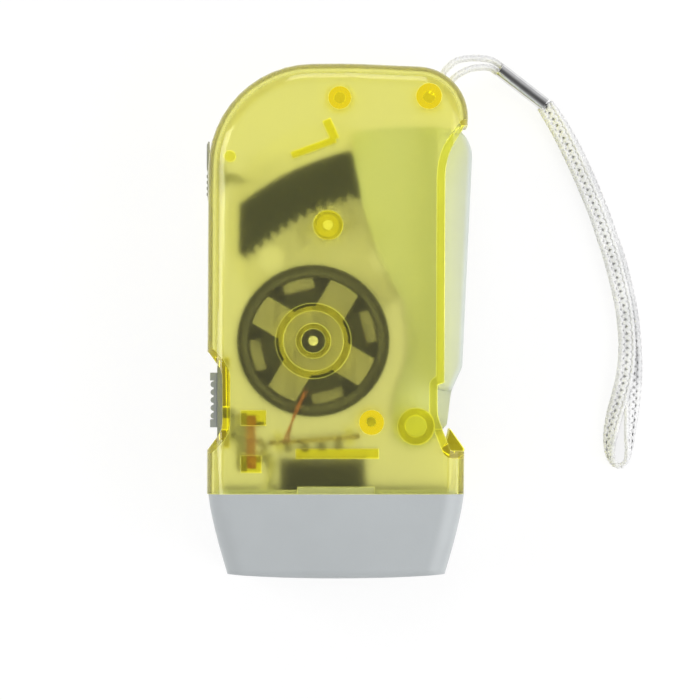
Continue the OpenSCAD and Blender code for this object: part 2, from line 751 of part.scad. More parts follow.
module cell(index) {
    color(steel) translate(cell_axis + [(index - 1.5) * cell_t, 0, 0]) rotate([0, 90, 0]) rotate_extrude()
        polygon([[0, 0], [cell_cap_r, 0], [cell_cap_r, cell_cap_t], [cell_d / 2, cell_cap_t + cell_chamfer],
            [cell_d / 2, cell_t - cell_chamfer], [cell_d / 2 - cell_chamfer, cell_t], [0, cell_t]]);
}

tab_t = 0.3;
tab_w = 5;
tab_foot = 4;
tab_reaches = [1.3, 0.6];
module cell_tabs() {
    color(steel) for (k = [0, 1]) {
        x = cell_axis[0] + (2 * k - 1) * (pack_l / 2 + sleeve_t + tab_t / 2 + running_gap);
        block([x - tab_t / 2, cell_axis[1] - tab_foot, cell_axis[2] - tab_w / 2],
            [x + tab_t / 2, cell_axis[1] + cell_pack_r + tab_reaches[k], cell_axis[2] + tab_w / 2]);
    }
}

// Circuit board and what it carries
board_z = mid_z - board_h / 2;
module circuit_board_place() {
    translate([board_left[0], board_left[1], 0]) rotate([0, 0, board_tilt]) children();
}

module circuit_board() {
    color([0.5, 0.5, 0.2]) circuit_board_place()
        block([0, -board_t / 2, board_z], [board_l, board_t / 2, board_z + board_h]);
}

diode_r = 0.95;
diode_l = 4;
diode_pitch = 3.4;
diode_inset = 4;
diode_gap = 0.02;
diode_rise = 0.6;
module diodes() {
    color([0.15, 0.15, 0.16]) circuit_board_place() for (k = [0:3])
        translate([diode_inset + k * diode_pitch, -board_t / 2 - diode_r - diode_gap, board_z + diode_rise])
            cylinder(r = diode_r, h = diode_l);
}

// Slide switch
switch_half_t = 4.6;
base_inset = 0.5;
frame_slot_rise = 3;
frame_slot_end = 1;
frame_slot_depth = 1.4;
frame_slot_half_t = 1.8;
pin_rises = [2.2, 5.9, 9.7];
pin_r = 0.5;
pin_l = 1.7;
pin_places = [for (rise = pin_rises) switch_y0 + rise];

module switch_frame() {
    color(steel) difference() {
        block([frame_x0, switch_y0, mid_z - switch_half_t],
            [frame_x1, switch_y0 + switch_l, mid_z + switch_half_t]);
        block([frame_x0 - overrun, switch_y0 + frame_slot_rise, mid_z - frame_slot_half_t],
            [frame_x0 + frame_slot_depth, switch_y0 + switch_l - frame_slot_end, mid_z + frame_slot_half_t]);
    }
}

module switch_base() {
    color([0.71, 0.49, 0.17]) difference() {
        block([frame_x1, switch_y0 + base_inset, mid_z - switch_half_t],
            [base_x1, switch_y0 + switch_l - base_inset, mid_z + switch_half_t]);
        for (y = pin_places) translate([frame_x1 - overrun, y, mid_z]) rotate([0, 90, 0])
            cylinder(r = pin_r + running_gap, h = base_t + 2 * overrun, $fn = 16);
    }
}

module switch_pins() {
    color([0.85, 0.84, 0.78]) for (y = pin_places) translate([frame_x1, y, mid_z]) rotate([0, 90, 0])
        cylinder(r = pin_r, h = base_t + pin_l, $fn = 16);
}

// Wires from the switch to the lamp board. Each point is a share of that way and its offset from it
wire_r = 0.65;
wire_start = [base_x1, pin_places[0], mid_z];
wire_end = [lens_centre[0] - lens_w / 2, lamp_board_y + lamp_board_t, lens_centre[1]];
switch_wire_points = [
    [0, [0.4, 1.2, 1.3]], [0, [1.2, 1.4, 1.3]], [0, [2.2, 1.3, 1.3]], [0, [3, 0.7, 1.3]],
    [0, [3.4, -0.6, 1.3]], [0.25, [3.738, 0.95, 1.45]], [0.5, [3.575, 2.5, 1.5]],
    [0.75, [3.013, 4.05, 1.55]], [1, [2.85, 5.2, 1.5]], [1, [2.95, 3, 1.3]], [1, [3.35, 1.1, 1.1]],
    [1, [3.35, 0.1, 1.1]]];
second_wire_points = [
    [0, [0.4, 4.3, 1.3]], [0, [1, 3.8, 1.3]], [0, [1.9, 2.8, 1.1]], [0, [1.9, 2.1, -0.2]],
    [0, [2.1, 0.9, -1.3]], [0.25, [2.938, 2.75, -1.85]], [0.5, [3.775, 3.7, -2]],
    [0.75, [4.513, 4.45, -1.95]], [1, [5.15, 5, -1.6]], [1, [5.35, 2.6, -1.3]], [1, [5.45, 1, -1.1]],
    [1, [5.45, 0.1, -1.1]]];
module switch_wires() {
    color([0.95, 0.95, 0.9]) for (points = [switch_wire_points, second_wire_points])
        round_wire([for (p = points) wire_start * (1 - p[0]) + wire_end * p[0] + p[1]], wire_r, 8);
}

// Light switch knob: solid ends and ribs between
knob_l = 11.3;
knob_t = 9;
knob_rise = 1.45;
knob_rib = 0.9;
knob_ribs = 5;
knob_end_l = 1.6;
knob_inset = 2.6;
knob_gap = 0.08;
knob_low = guide_low[1] + knob_inset;
knob_x = guide_low[0] - knob_gap;
foot_x0 = recess_x + wall + moving_gap;
foot_x1 = frame_x0 - moving_gap;
foot_depth = 0.9;
foot_y = switch_y0 + switch_l / 2;
module switch_knob() {
    stem_z = mid_z - switch_stem_t / 2;
    color(knob_grey) union() {
        block([knob_x - knob_rise / 2, knob_low, mid_z - knob_t / 2], [knob_x, knob_low + knob_l,
            mid_z + knob_t / 2]);
        for (y = [knob_low, knob_low + knob_l - knob_end_l])
            block([knob_x - knob_rise, y, mid_z - knob_t / 2], [knob_x, y + knob_end_l, mid_z + knob_t / 2]);
        for (k = [0:knob_ribs - 1]) {
            y = knob_low + knob_end_l + (knob_l - 2 * knob_end_l) * (k + 0.5) / knob_ribs;
            translate([knob_x - knob_rise / 2, y, mid_z - knob_t / 2])
                cylinder(r = knob_rib * 0.7, h = knob_t, $fn = 24);
        }
        block([knob_x - overrun, switch_stem_y, stem_z], [foot_x1, switch_stem_y + switch_stem_l,
            stem_z + switch_stem_t]);
        block([foot_x0, foot_y, stem_z], [foot_x1, switch_stem_y + overrun, stem_z + switch_stem_t]);
        block([foot_x0, foot_y, stem_z],
            [frame_x0 + foot_depth, foot_y + switch_stem_l, stem_z + switch_stem_t]);
    }
}

module switch_guide() {
    color([0.57, 0.57, 0.48]) difference() {
        translate([guide_low[0], 0, 0]) rotate([90, 0, 90]) linear_extrude(guide_high[0] - guide_low[0])
            polygon(rounded(slab_outline([guide_low[1], guide_low[2]], [guide_high[1], guide_high[2]],
                guide_corner_r)));
        block([-out_x, switch_stem_y - switch_travel - moving_gap, mid_z - switch_stem_t / 2 - moving_gap],
            [0, switch_stem_y + switch_stem_l + moving_gap, mid_z + switch_stem_t / 2 + moving_gap]);
    }
}

// Lever lock: a ribbed thumb piece, a stem through the wall and a hook that drops behind the sector
lock_l = 12.3;
lock_t = 8;
lock_rise = 0.42;
lock_drop = 3.6;
lock_gap = 0.22;
lock_base_t = 0.08;
lock_corner_r = 3.4;
lock_stem_in = 6.1;
lock_hook_l = 1.45;
lock_hook_t = 1.1;
lock_pad_rise = 6.3;
lock_pad_end = 0.4;
lock_pad_half_w = 2.6;
lock_pad_r = 2.5;
lock_plate_drop = 1.2;
lock_plate_rise = 4.2;
lock_plate_t = 1;
lock_low = lock_y - lock_drop;
lock_x = -half_w - lock_gap;
lock_slider_in = -half_w + lock_stem_in;
lock_hook_in = lock_slider_in + lock_hook_l;
lock_ribs = 4;
lock_rib_pitch = 1.24;
lock_rib_rise = 1;
lock_rib_w = 0.6;
lock_rib_half_l = 2.9;
module lock_slider() {
    color([0.69, 0.7, 0.63]) union() {
        translate([lock_x - lock_rise / 2, 0, 0]) rotate([90, 0, 90])
            linear_extrude(lock_rise / 2 + lock_base_t) polygon(rounded(slab_outline(
                [lock_low, mid_z - lock_t / 2], [lock_low + lock_l, mid_z + lock_t / 2], lock_corner_r)));
        translate([lock_x - lock_rise, 0, 0]) rotate([90, 0, 90]) linear_extrude(lock_rise)
            polygon(rounded(slab_outline([lock_low + lock_pad_rise, mid_z - lock_pad_half_w],
                [lock_low + lock_l - lock_pad_end, mid_z + lock_pad_half_w], lock_pad_r)));
        for (k = [0:lock_ribs - 1]) {
            y = lock_low + lock_rib_rise + k * lock_rib_pitch;
            block([lock_x - lock_rise, y, mid_z - lock_rib_half_l], [lock_x, y + lock_rib_w,
                mid_z + lock_rib_half_l]);
        }
        block([lock_x - lock_rise / 4, lock_y, mid_z - lock_stem_t / 2], [lock_slider_in, lock_y + lock_stem_l,
            mid_z + lock_stem_t / 2]);
        block([-half_w + wall + moving_gap, lock_y - lock_plate_drop, mid_z - lock_t / 2],
            [-half_w + wall + moving_gap + lock_plate_t, lock_y + lock_plate_rise, mid_z + lock_t / 2]);
        block([lock_slider_in - overrun, lock_y, mid_z - lock_stem_t / 2], [lock_hook_in, lock_y + lock_hook_t,
            mid_z + lock_stem_t / 2]);
    }
}

// Gear teeth
pressure_angle = 25;
flank_steps = 4;
backlash_share = 0.16;
function involute_angle(a) = tan(a) * 180 / PI - a;
function flank_half(r, pitch_r, half_pitch) =
    let (base_r = pitch_r * cos(pressure_angle))
    half_pitch + involute_angle(pressure_angle) - (r > base_r ? involute_angle(acos(base_r / r)) : 0);

function tooth_points(r0, r1, centre, pitch_r, half_pitch) = concat(
    [for (k = [0:flank_steps]) let (r = r0 + (r1 - r0) * k / flank_steps)
        polar(r, centre - flank_half(r, pitch_r, half_pitch))],
    [for (k = [flank_steps:-1:0]) let (r = r0 + (r1 - r0) * k / flank_steps)
        polar(r, centre + flank_half(r, pitch_r, half_pitch))]);

addendum_share = 0.9;
dedendum_share = 1.12;
module gear_outline(teeth, module_size, first) {
    pitch_r = module_size * teeth / 2;
    half_pitch = 90 / teeth - backlash_share * module_size / pitch_r * 90 / PI;
    polygon([for (i = [0:teeth - 1]) each tooth_points(pitch_r - dedendum_share * module_size,
        pitch_r + addendum_share * module_size, first + 360 * i / teeth, pitch_r, half_pitch)]);
}

sector_first = -3;
sector_last = 8;
sector_step = 360 / sector_ring_teeth;
sector_end_w = 2.6;
tongue_angle = 5.5;
tongue_in = 1;
tongue_step = 0.6;
module sector_gear() {
    half_pitch = 90 / sector_ring_teeth + backlash_share * sector_module / sector_pitch_r * 90 / PI;
    tip_r = sector_pitch_r - sector_addendum_share * sector_module;
    root_r = sector_pitch_r + dedendum_share * sector_module;
    back_r = tip_r + sector_depth;
    end_angle = sector_mesh_angle + (sector_last + 0.5) * sector_step;
    start_angle = sector_mesh_angle + (sector_first - 0.95) * sector_step;
    spaces = [for (i = [sector_first:sector_last]) each
        tooth_points(tip_r, root_r, sector_mesh_angle + i * sector_step, sector_pitch_r, half_pitch)];
    color(gear_black) translate([pivot[0], pivot[1], arm_z0 + lever_wall + seat_gap])
        linear_extrude(arm_t - 2 * lever_wall - 2 * seat_gap)
            polygon(concat([polar(tip_r + tongue_in, start_angle - tongue_angle),
                polar(tip_r + tongue_in, start_angle), polar(tip_r, start_angle)], spaces,
                [polar(tip_r, end_angle), polar(tip_r + sector_end_w, end_angle + 0.1)],
                arc([0, 0], back_r, end_angle - 7, start_angle, 14),
                [polar(back_r - tongue_step, start_angle),
                    polar(back_r - tongue_step, start_angle - tongue_angle)]));
}

// Lever: a stepped channel, open inwards, with a broad grip and a narrower arm
grip_gap = 0.35;
grip_over = 0.95;
grip_rise = 7.6;
grip_corner_r = 1;
grip_edge_r = 1.2;
neck_w = 3.35;
neck_rise = 7.2;
neck_r = 1.4;
swell_in = 1.25;
swell_rise = 12.2;
swell_r = 2.5;
crest_drop = 2.9;
crest_r = 7;
grip_tip_in = 2;
grip_tip_drop = 0.6;
grip_end_r = 1.3;
grip_in_x = throat_x - grip_gap;
grip_x = half_w + grip_over;
grip_top = recess_top - 1.5 * lever_end_gap;
neck_x = grip_in_x + neck_w;
grip_outline = [
    [grip_in_x, pivot[1] + grip_rise, grip_corner_r],
    [neck_x, pivot[1] + neck_rise, neck_r],
    [half_w - swell_in, pivot[1] + swell_rise, swell_r],
    [grip_x, recess_top - crest_drop, crest_r],
    [half_w - grip_tip_in, grip_top - grip_tip_drop, grip_corner_r],
    [grip_in_x, grip_top, grip_end_r]];
heel_sink = 0.02;
heel_in = 2.6;
heel_drop = 3.7;
heel_out = 6.5;
heel_rise = 0.3;
heel_neck_in = 0.05;
heel_neck_rise = 6.8;
heel_neck_r = 3;
heel_top_in = 1.7;
heel_back_in = 1;
heel_back_rise = 14;
heel_web_in = 2;
heel_web_rise = 8;
heel_outline = [
    [pivot[0], pivot[1] - hub_r + heel_sink, 0],
    [pivot[0] + heel_in, pivot[1] - heel_drop, grip_corner_r],
    [pivot[0] + heel_out, pivot[1] + heel_rise, grip_corner_r],
    [neck_x - heel_neck_in, pivot[1] + heel_neck_rise, heel_neck_r],
    [half_w - heel_top_in, pivot[1] + swell_rise, grip_corner_r],
    [grip_in_x - heel_back_in, pivot[1] + heel_back_rise, 0],
    [pivot[0] - heel_web_in, pivot[1] + heel_web_rise, 0]];
cavity_rise = 12;
cavity_swell_rise = 13.4;
cavity_crest_in = 0.4;
cavity_crest_drop = 3.6;
cavity_crest_r = 4;
grip_cavity = [
    [grip_in_x + lever_wall, pivot[1] + cavity_rise, grip_corner_r],
    [half_w - swell_in - lever_wall, pivot[1] + cavity_swell_rise, grip_corner_r],
    [grip_x - lever_wall - cavity_crest_in, recess_top - cavity_crest_drop, cavity_crest_r],
    [half_w - grip_tip_in - lever_wall, grip_top - grip_tip_drop - lever_wall, grip_corner_r],
    [grip_in_x + lever_wall, grip_top - lever_wall, grip_corner_r]];
arm_w = 12.9;
arm_rise = 9;
arm_corner_drop = 4.8;
arm_corner_r = 2;
arm_waist_in = 2;
arm_waist_drop = 15.6;
arm_root_in = 5.2;
arm_root_drop = 26.6;
arm_bend_r = 20;
arm_foot_rise = 6;
arm_cavity_rise = 13;
wheel_room = 3.7;
wheel_arc_r = flywheel_r + wheel_room;
arm_left_x = pivot[0] - arm_w;
arm_corner_y = recess_top - arm_corner_drop;
arm_right_x = grip_in_x + lever_wall * 0.8;
arm_top_angles = [asin((arm_right_x - pivot[0]) / lever_reach), asin((pivot[0] - arm_left_x) / lever_reach)];
arm_outline = concat(
    [for (p = concat([[arm_right_x, pivot[1] + arm_rise]],
        arc(pivot, lever_reach - lever_end_gap, 90 - arm_top_angles[0], 90 + arm_top_angles[1], 6)))
        [p[0], p[1], 0]],
    [[arm_left_x, arm_corner_y, arm_corner_r],
        [arm_left_x + arm_waist_in, recess_top - arm_waist_drop, arm_bend_r],
        [arm_left_x + arm_root_in, recess_top - arm_root_drop, arm_bend_r],
        [wheel_place[0] + wheel_arc_r * 0.98, wheel_place[1] + wheel_arc_r * 0.38, arm_corner_r]],
    [for (p = arc(wheel_place, wheel_arc_r, 16, -28, 8)) [p[0], p[1], 0]],
    [[pivot[0] - hub_r, pivot[1] + arm_foot_rise, grip_corner_r],
        [pivot[0] - hub_r, pivot[1], 0],
        [pivot[0] + hub_r, pivot[1], 0]]);

module arm_cavity() {
    shape = rounded(inset(arm_outline, lever_wall));
    translate([0, 0, arm_z0 + lever_wall]) linear_extrude(arm_t - 2 * lever_wall) {
        polygon(shape);
        translate([-2 * lever_wall, 0]) polygon(shape);
        translate([2 * lever_wall, 0]) polygon([for (p = shape) if (p[1] > pivot[1] + arm_cavity_rise) p]);
    }
}

module lever_arm() {
    color(lever_grey) union() {
        difference() {
            union() {
                rounded_slab(grip_outline, grip_z0, grip_z1, grip_edge_r);
                translate([0, 0, arm_z0]) linear_extrude(arm_t) {
                    polygon(rounded(arm_outline));
                    polygon(rounded(heel_outline));
                }
            }
            translate([0, 0, grip_z0 + lever_wall]) linear_extrude(grip_t - 2 * lever_wall)
                polygon(rounded(grip_cavity));
            arm_cavity();
            for (level = [[arm_z1, case_t], [0, arm_z0]]) post(pivot, hub_r + overrun, level[0], level[1]);
        }
        post(pivot, hub_r, arm_z0, arm_z1);
        post(pivot, stub_r, arm_z0 - back_stub_depth, arm_z1 + stub_depth);
    }
}

// Return spring round the back pivot boss. One leg is held by the case, and the other bears on the lever
spring_gap = 0.47;
spring_wire_r = 0.35;
spring_r = stub_boss_r + spring_gap + spring_wire_r;
spring_turns = 3;
spring_pitch = 1.15;
spring_drop = 0.75;
spring_start = 118;
rings_per_turn = 8;
moving_leg_l = 4.8;
moving_leg_angle = 23.4;
fixed_leg_l = 3.3;
fixed_leg_angle = 205;
fixed_leg_drop = 0.3;
function leg_point(from, l, angle, drop, share) = from + share * concat(polar(l, angle), [-drop]);
module lever_spring() {
    curls = [for (k = [0:spring_turns * rings_per_turn]) let (a = spring_start + 360 * k / rings_per_turn)
        [pivot[0] + spring_r * cos(a), pivot[1] + spring_r * sin(a),
            arm_z0 - spring_drop - spring_pitch * k / rings_per_turn]];
    color(steel) round_wire(concat(
        [for (s = [1, 0.4]) leg_point(curls[0], moving_leg_l, moving_leg_angle, 0, s)], curls,
        [for (s = [0.5, 1])
            leg_point(curls[len(curls) - 1], fixed_leg_l, fixed_leg_angle, fixed_leg_drop, s)]),
        spring_wire_r);
}

// Gear train
module gear_axle() {
    color(steel) post(gear_place, axle_r, wall + axle_skin, front_in - gear_axle_skin);
}

pawl_r = 6.5;
pawl_w = 1.1;
pawl_gap = 0.2;
pawl_z = gear_back_z + gear_web_t + pawl_gap;
pawl_t = 1.5;
pinion_gap = 0.3;
pinion_hub_r = 2.9;
pinion_hub_in = 0.5;
pinion_top_gap = 0.9;
thrust_r = 2.45;
pinion_z = arm_z0 + pinion_gap;
module ratchet_pinion() {
    color(gear_white) difference() {
        union() {
            translate([gear_place[0], gear_place[1], pinion_z])
                linear_extrude(arm_z1 - pinion_top_gap - pinion_z)
                    gear_outline(ratchet_pinion_teeth, sector_module, sector_mesh_angle);
            post(gear_place, thrust_r, pinion_z, arm_z1 - gear_boss_reach - seat_gap);
            post(gear_place, pinion_hub_r, pawl_z, pinion_z + overrun);
            translate([gear_place[0], gear_place[1], pawl_z]) linear_extrude(pawl_t) for (s = [0, 180])
                rotate(s) polygon(concat(arc([0, 0], pawl_r, 0, 95, 10),
                    arc([0, 0], pawl_r - pawl_w, 85, 20, 8),
                    [for (a = [30, -20]) polar(pinion_hub_r - pinion_hub_in, a)]));
        }
        post(gear_place, axle_r + running_gap, 0, case_t);
    }
}

ratchet_teeth = 16;
ratchet_r = 7.1;
ratchet_tooth = 0.9;
ratchet_ring_r = 9.2;
gear_rim_w = 3.4;
gear_hole_r = 2.8;
module drive_gear() {
    pitch_r = train_module * drive_gear_teeth / 2;
    color(gear_white) translate([gear_place[0], gear_place[1], gear_back_z]) difference() {
        union() {
            linear_extrude(gear_rim_t) difference() {
                gear_outline(drive_gear_teeth, train_module, train_angle + 180 / drive_gear_teeth);
                circle(r = pitch_r - gear_rim_w);
            }
            cylinder(r = pitch_r - gear_rim_w + overrun, h = gear_web_t);
            linear_extrude(gear_web_t + ratchet_ring_t) difference() {
                circle(r = ratchet_ring_r);
                polygon([for (k = [0:ratchet_teeth - 1]) each [
                    polar(ratchet_r, 360 * k / ratchet_teeth), polar(ratchet_r + ratchet_tooth,
                        360 * (k + 0.92) / ratchet_teeth)]]);
            }
        }
        translate([0, 0, -overrun]) cylinder(r = axle_r + running_gap, h = case_t);
        for (k = [0:5]) rotate(60 * k + 30)
            translate([(ratchet_ring_r + pitch_r - gear_rim_w) / 2, 0, -overrun])
                cylinder(r = gear_hole_r, h = gear_rim_t + 2 * overrun);
    }
}

// Flywheel and dynamo
module flywheel_shaft() {
    color(steel) post(wheel_place, axle_r, wall + axle_skin, front_in - axle_skin);
}

wheel_pinion_hub_r = 2.3;
wheel_pinion_hub_in = 0.4;
wheel_pinion_t = 4.6;
module flywheel_pinion() {
    color(gear_white) difference() {
        union() {
            translate([wheel_place[0], wheel_place[1], wheel_back_z - wheel_pinion_l])
                linear_extrude(wheel_pinion_t)
                    gear_outline(flywheel_pinion_teeth, train_module, train_angle + 180);
            post(wheel_place, wheel_pinion_hub_r, wheel_back_z - wheel_pinion_l + wheel_pinion_hub_in,
                wheel_back_z);
        }
        post(wheel_place, axle_r + running_gap, 0, case_t);
    }
}

rim_chamfer = 1;
wheel_hub_r = 3;
wheel_hub_rise = 0.8;
module flywheel_rim() {
    color(gear_black) translate([wheel_place[0], wheel_place[1], wheel_back_z]) rotate_extrude($fn = 96)
        polygon([[axle_r + running_gap, 0], [flywheel_r - rim_chamfer, 0], [flywheel_r, rim_chamfer],
            [flywheel_r, flywheel_depth], [flywheel_r - rim_t, flywheel_depth],
            [flywheel_r - rim_t, wheel_web_t], [wheel_hub_r, wheel_web_t],
            [wheel_hub_r, wheel_web_t + wheel_hub_rise],
            [axle_r + running_gap, wheel_web_t + wheel_hub_rise]]);
}

magnet_setback = 0.5;
magnet_in_r = flywheel_r - rim_t - magnet_t;
module ring_magnet() {
    color([0.2, 0.2, 0.21]) difference() {
        post(wheel_place, flywheel_r - rim_t, wheel_back_z + wheel_web_t, wheel_front_z - magnet_setback);
        post(wheel_place, magnet_in_r, 0, case_t);
    }
}

claw_r = magnet_in_r - air_gap;
claw_angle = 59.5;
claw_count = 4;
claw_reach = 9.6;
claw_disc_r = 7.1;
claw_lip_l = 2.4;
module claw_plate(first, towards, lip) {
    difference() {
        union() {
            cylinder(r = claw_disc_r, h = claw_t);
            for (k = [0:claw_count - 1]) rotate(first + 360 * k / claw_count) {
                intersection() {
                    translate([0, -claw_w / 2, 0]) cube([claw_r, claw_w, claw_t]);
                    cylinder(r = claw_r, h = claw_t);
                }
                intersection() {
                    translate([claw_r - claw_w, -claw_w / 2, towards > 0 ? 0 : claw_t - claw_reach])
                        cube([claw_w, claw_w, claw_reach]);
                    difference() {
                        translate([0, 0, -claw_reach]) cylinder(r = claw_r, h = 2 * claw_reach);
                        translate([0, 0, -claw_reach - overrun]) cylinder(r = claw_r - claw_t,
                            h = 2 * claw_reach + 2 * overrun);
                    }
                }
                if (lip) intersection() {
                    translate([claw_r - claw_lip_l, -claw_w / 2, claw_reach - claw_t])
                        cube([claw_w, claw_w, claw_t]);
                    cylinder(r = claw_r, h = claw_reach);
                }
            }
        }
        translate([0, 0, -overrun]) cylinder(r = tube_ring_in_r, h = claw_t + 2 * overrun);
    }
}

claw_metal = [0.6, 0.58, 0.5];
module rear_claw_plate() {
    color(claw_metal) translate([wheel_place[0], wheel_place[1], rear_plate_z])
        claw_plate(claw_angle - 180 / claw_count, 1, true);
}

module front_claw_plate() {
    color(claw_metal) translate([wheel_place[0], wheel_place[1], front_plate_z])
        claw_plate(claw_angle, -1, false);
}

flange_t = 0.8;
bobbin_z0 = rear_plate_z + claw_t;
core_r = 4;
winding_in = 0.5;
tube_skin = 1.9;
module coil_bobbin() {
    tube_r = tube_ring_in_r - running_gap;
    bore_r = axle_r + 2 * running_gap;
    color([0.15, 0.15, 0.13]) translate([wheel_place[0], wheel_place[1], 0]) rotate_extrude()
        polygon([[bore_r, bobbin_z0], [bobbin_r, bobbin_z0], [bobbin_r, bobbin_z0 + flange_t],
            [core_r, bobbin_z0 + flange_t], [core_r, front_plate_z - flange_t],
            [bobbin_r, front_plate_z - flange_t], [bobbin_r, front_plate_z], [tube_r, front_plate_z],
            [tube_r, front_in - tube_skin], [bore_r, front_in - tube_skin]]);
}

module coil_winding() {
    color([0.25, 0.22, 0.16]) difference() {
        post(wheel_place, bobbin_r - winding_in, bobbin_z0 + flange_t, front_plate_z - flange_t);
        post(wheel_place, core_r, 0, case_t);
    }
}

// Leads from the front flange of the bobbin to the top of the circuit board, as shares of the two
lead_wire_r = 0.2;
leads_from = [wheel_place[0], wheel_place[1], front_plate_z];
leads_to = [board_left[0], board_left[1], board_z + board_h];
coil_end_shares = [
    [[-0.184, -1.008, -0.029], [-0.209, -1.106, 0.039], [-0.277, -1.322, 0.088], [-0.385, -1.557, 0.039]],
    [[-0.121, -1.018, -0.029], [-0.199, -1.125, 0], [-0.326, -1.322, 0.01], [-0.405, -1.557, -0.01]]];
board_end_shares = [
    [[0.204, 0.14, 0.097], [0.156, 0.016, 0.016]],
    [[0.226, 0.14, 0.054], [0.204, 0.016, 0.016]]];
module coil_leads() {
    color([0.85, 0.45, 0.25]) for (k = [0, 1])
        round_wire(concat([for (s = coil_end_shares[k]) leads_from + bobbin_r * s],
            [for (s = board_end_shares[k]) leads_to + board_l * s]), lead_wire_r);
}

cross_l = 2.2;
cross_w = 0.45;
cross_depth = 0.6;
module housing_screws() {
    head_z = screw_head_z - screw_head_t;
    color(steel) difference() {
        union() {
            post(screw_post, screw_head_r, head_z, screw_head_z);
            post(screw_post, screw_r, screw_head_z - overrun, screw_tip_z);
        }
        for (a = [0, 90]) translate([screw_post[0], screw_post[1], head_z]) rotate(a)
            cube([cross_l, cross_w, 2 * cross_depth], center = true);
    }
}

// Strap: two strands from the corner to a ferrule, then a flat loop that lies on the table
ferrule_ends = [[33.7, 52.9, 3.2], [43.2, 45.6, 2.2]];
ferrule_way = unit(ferrule_ends[1] - ferrule_ends[0]);
ferrule_wall = 0.3;
module strap_ferrule() {
    color([0.8, 0.8, 0.8]) translate(ferrule_ends[0])
        rotate([0, acos(ferrule_way[2]), atan2(ferrule_way[1], ferrule_way[0])]) difference() {
            cylinder(r = ferrule_r, h = norm(ferrule_ends[1] - ferrule_ends[0]));
            translate([0, 0, -overrun]) cylinder(r = ferrule_r - ferrule_wall,
                h = norm(ferrule_ends[1] - ferrule_ends[0]) + 2 * overrun);
        }
}

// Each strand's route, and how much of the height from the ferrule to its hole is left along it
strand_low_z = 3.25;
strand_routes = [
    [[20.6, 49.6], [21.5, 51.4], [22.8, 53.1], [24.6, 54.5], [27.2, 55.1], [29.8, 55.2], [31.8, 54.9],
        [33, 54.4], [34.1, 53.5]],
    [[22.4, 48.9], [23.6, 50.4], [25, 51.6], [27, 52.7], [29, 53.2], [30.9, 53.3], [32.1, 53.1],
        [33.1, 52.35]]];
strand_rise_shares = [[1, 1, 0.948, 0.791, 0.513, 0.235, 0.078, 0.017, 0],
    [1, 1, 0.896, 0.67, 0.409, 0.2, 0.061, 0.009]];
module strap_strand(index) {
    route = strand_routes[index];
    rises = strand_rise_shares[index] * (strap_z - strand_low_z);
    color([0.95, 0.95, 0.95])
        round_wire([for (i = [0:len(route) - 1]) concat(route[i], [strand_low_z + rises[i]])], strand_d / 2, 8);
}

loop_route = [
    [43.3, 45.4, 2.3], [45.8, 41.2, 2.2], [48.1, 36.8, 2.2], [50, 32.8, 2.2], [51.6, 29.2, 2.2],
    [53.2, 25.4, 2.2], [54.6, 21.8, 2.2], [55.8, 18.2, 2.2], [57, 14.6, 2.2], [58, 11, 2.2], [58.9, 7.4, 2.2],
    [59.7, 3.8, 2.2], [60.2, 0.2, 2.2], [60.5, -3.4, 2.2], [60.5, -7, 2.2], [60.1, -11, 2.2], [59.2, -15, 2.1],
    [58.1, -19, 2], [57.2, -23, 2], [56.9, -26, 2], [57.1, -28.4, 2], [58, -30, 2], [59.3, -30.3, 2],
    [60.4, -29.2, 2], [60.9, -27, 2], [61.1, -23.5, 1.9], [61.5, -19, 1.6], [61.8, -14.6, 1.2],
    [62, -10.4, 0.9], [62, -6.6, 0.75], [61.7, -3, 0.7], [61.3, 0.6, 0.7], [60.7, 4.2, 0.7], [59.9, 7.8, 0.7],
    [59, 11.4, 0.7], [57.9, 15, 0.7], [56.6, 18.6, 0.7], [55.4, 22, 0.7], [54, 25.6, 0.7], [52.4, 29.4, 0.7],
    [50.8, 33, 0.7], [48.8, 37, 0.75], [46.4, 41.2, 1], [43.6, 45.1, 1.6]];
// How far the strap stands on its edge, from 0 at the ferrule to 1 at the turn
turn_point = 22;
function on_edge(i) = max(0, 1 - abs(i - turn_point) / 7);
module wrist_strap() {
    color([0.95, 0.95, 0.95]) tube(loop_route, [for (i = [0:len(loop_route) - 1])
        let (e = on_edge(i), near = min(1, 0.3 + min(i, len(loop_route) - 1 - i) / 4))
        near * [(strap_w * (1 - e) + strap_t * e) / 2, (strap_t * (1 - e) + strap_w * e) / 2]], 8);
}

front_shell();
back_shell();
head_bezel();
lens();
reflector();
lamp_board();
led(lamp_places[0]);  // led_left
led(lamp_places[1]);  // led_middle
led(lamp_places[2]);  // led_right
battery_sleeve();
cell(0);  // cell_1
cell(1);  // cell_2
cell(2);  // cell_3
cell_tabs();
circuit_board();
diodes();
switch_frame();
switch_base();
switch_pins();
switch_wires();
switch_knob();
switch_guide();
lock_slider();
lever_arm();
sector_gear();
lever_spring();
gear_axle();
ratchet_pinion();
drive_gear();
flywheel_shaft();
flywheel_pinion();
flywheel_rim();
ring_magnet();
rear_claw_plate();
coil_bobbin();
coil_winding();
front_claw_plate();
coil_leads();
housing_screws();
strap_strand(0);  // strap_strand_1
strap_strand(1);  // strap_strand_2
strap_ferrule();
wrist_strap();
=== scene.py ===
"""Hand press dynamo flashlight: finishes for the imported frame, the braided wrist strap, the wound coil
and the stage."""

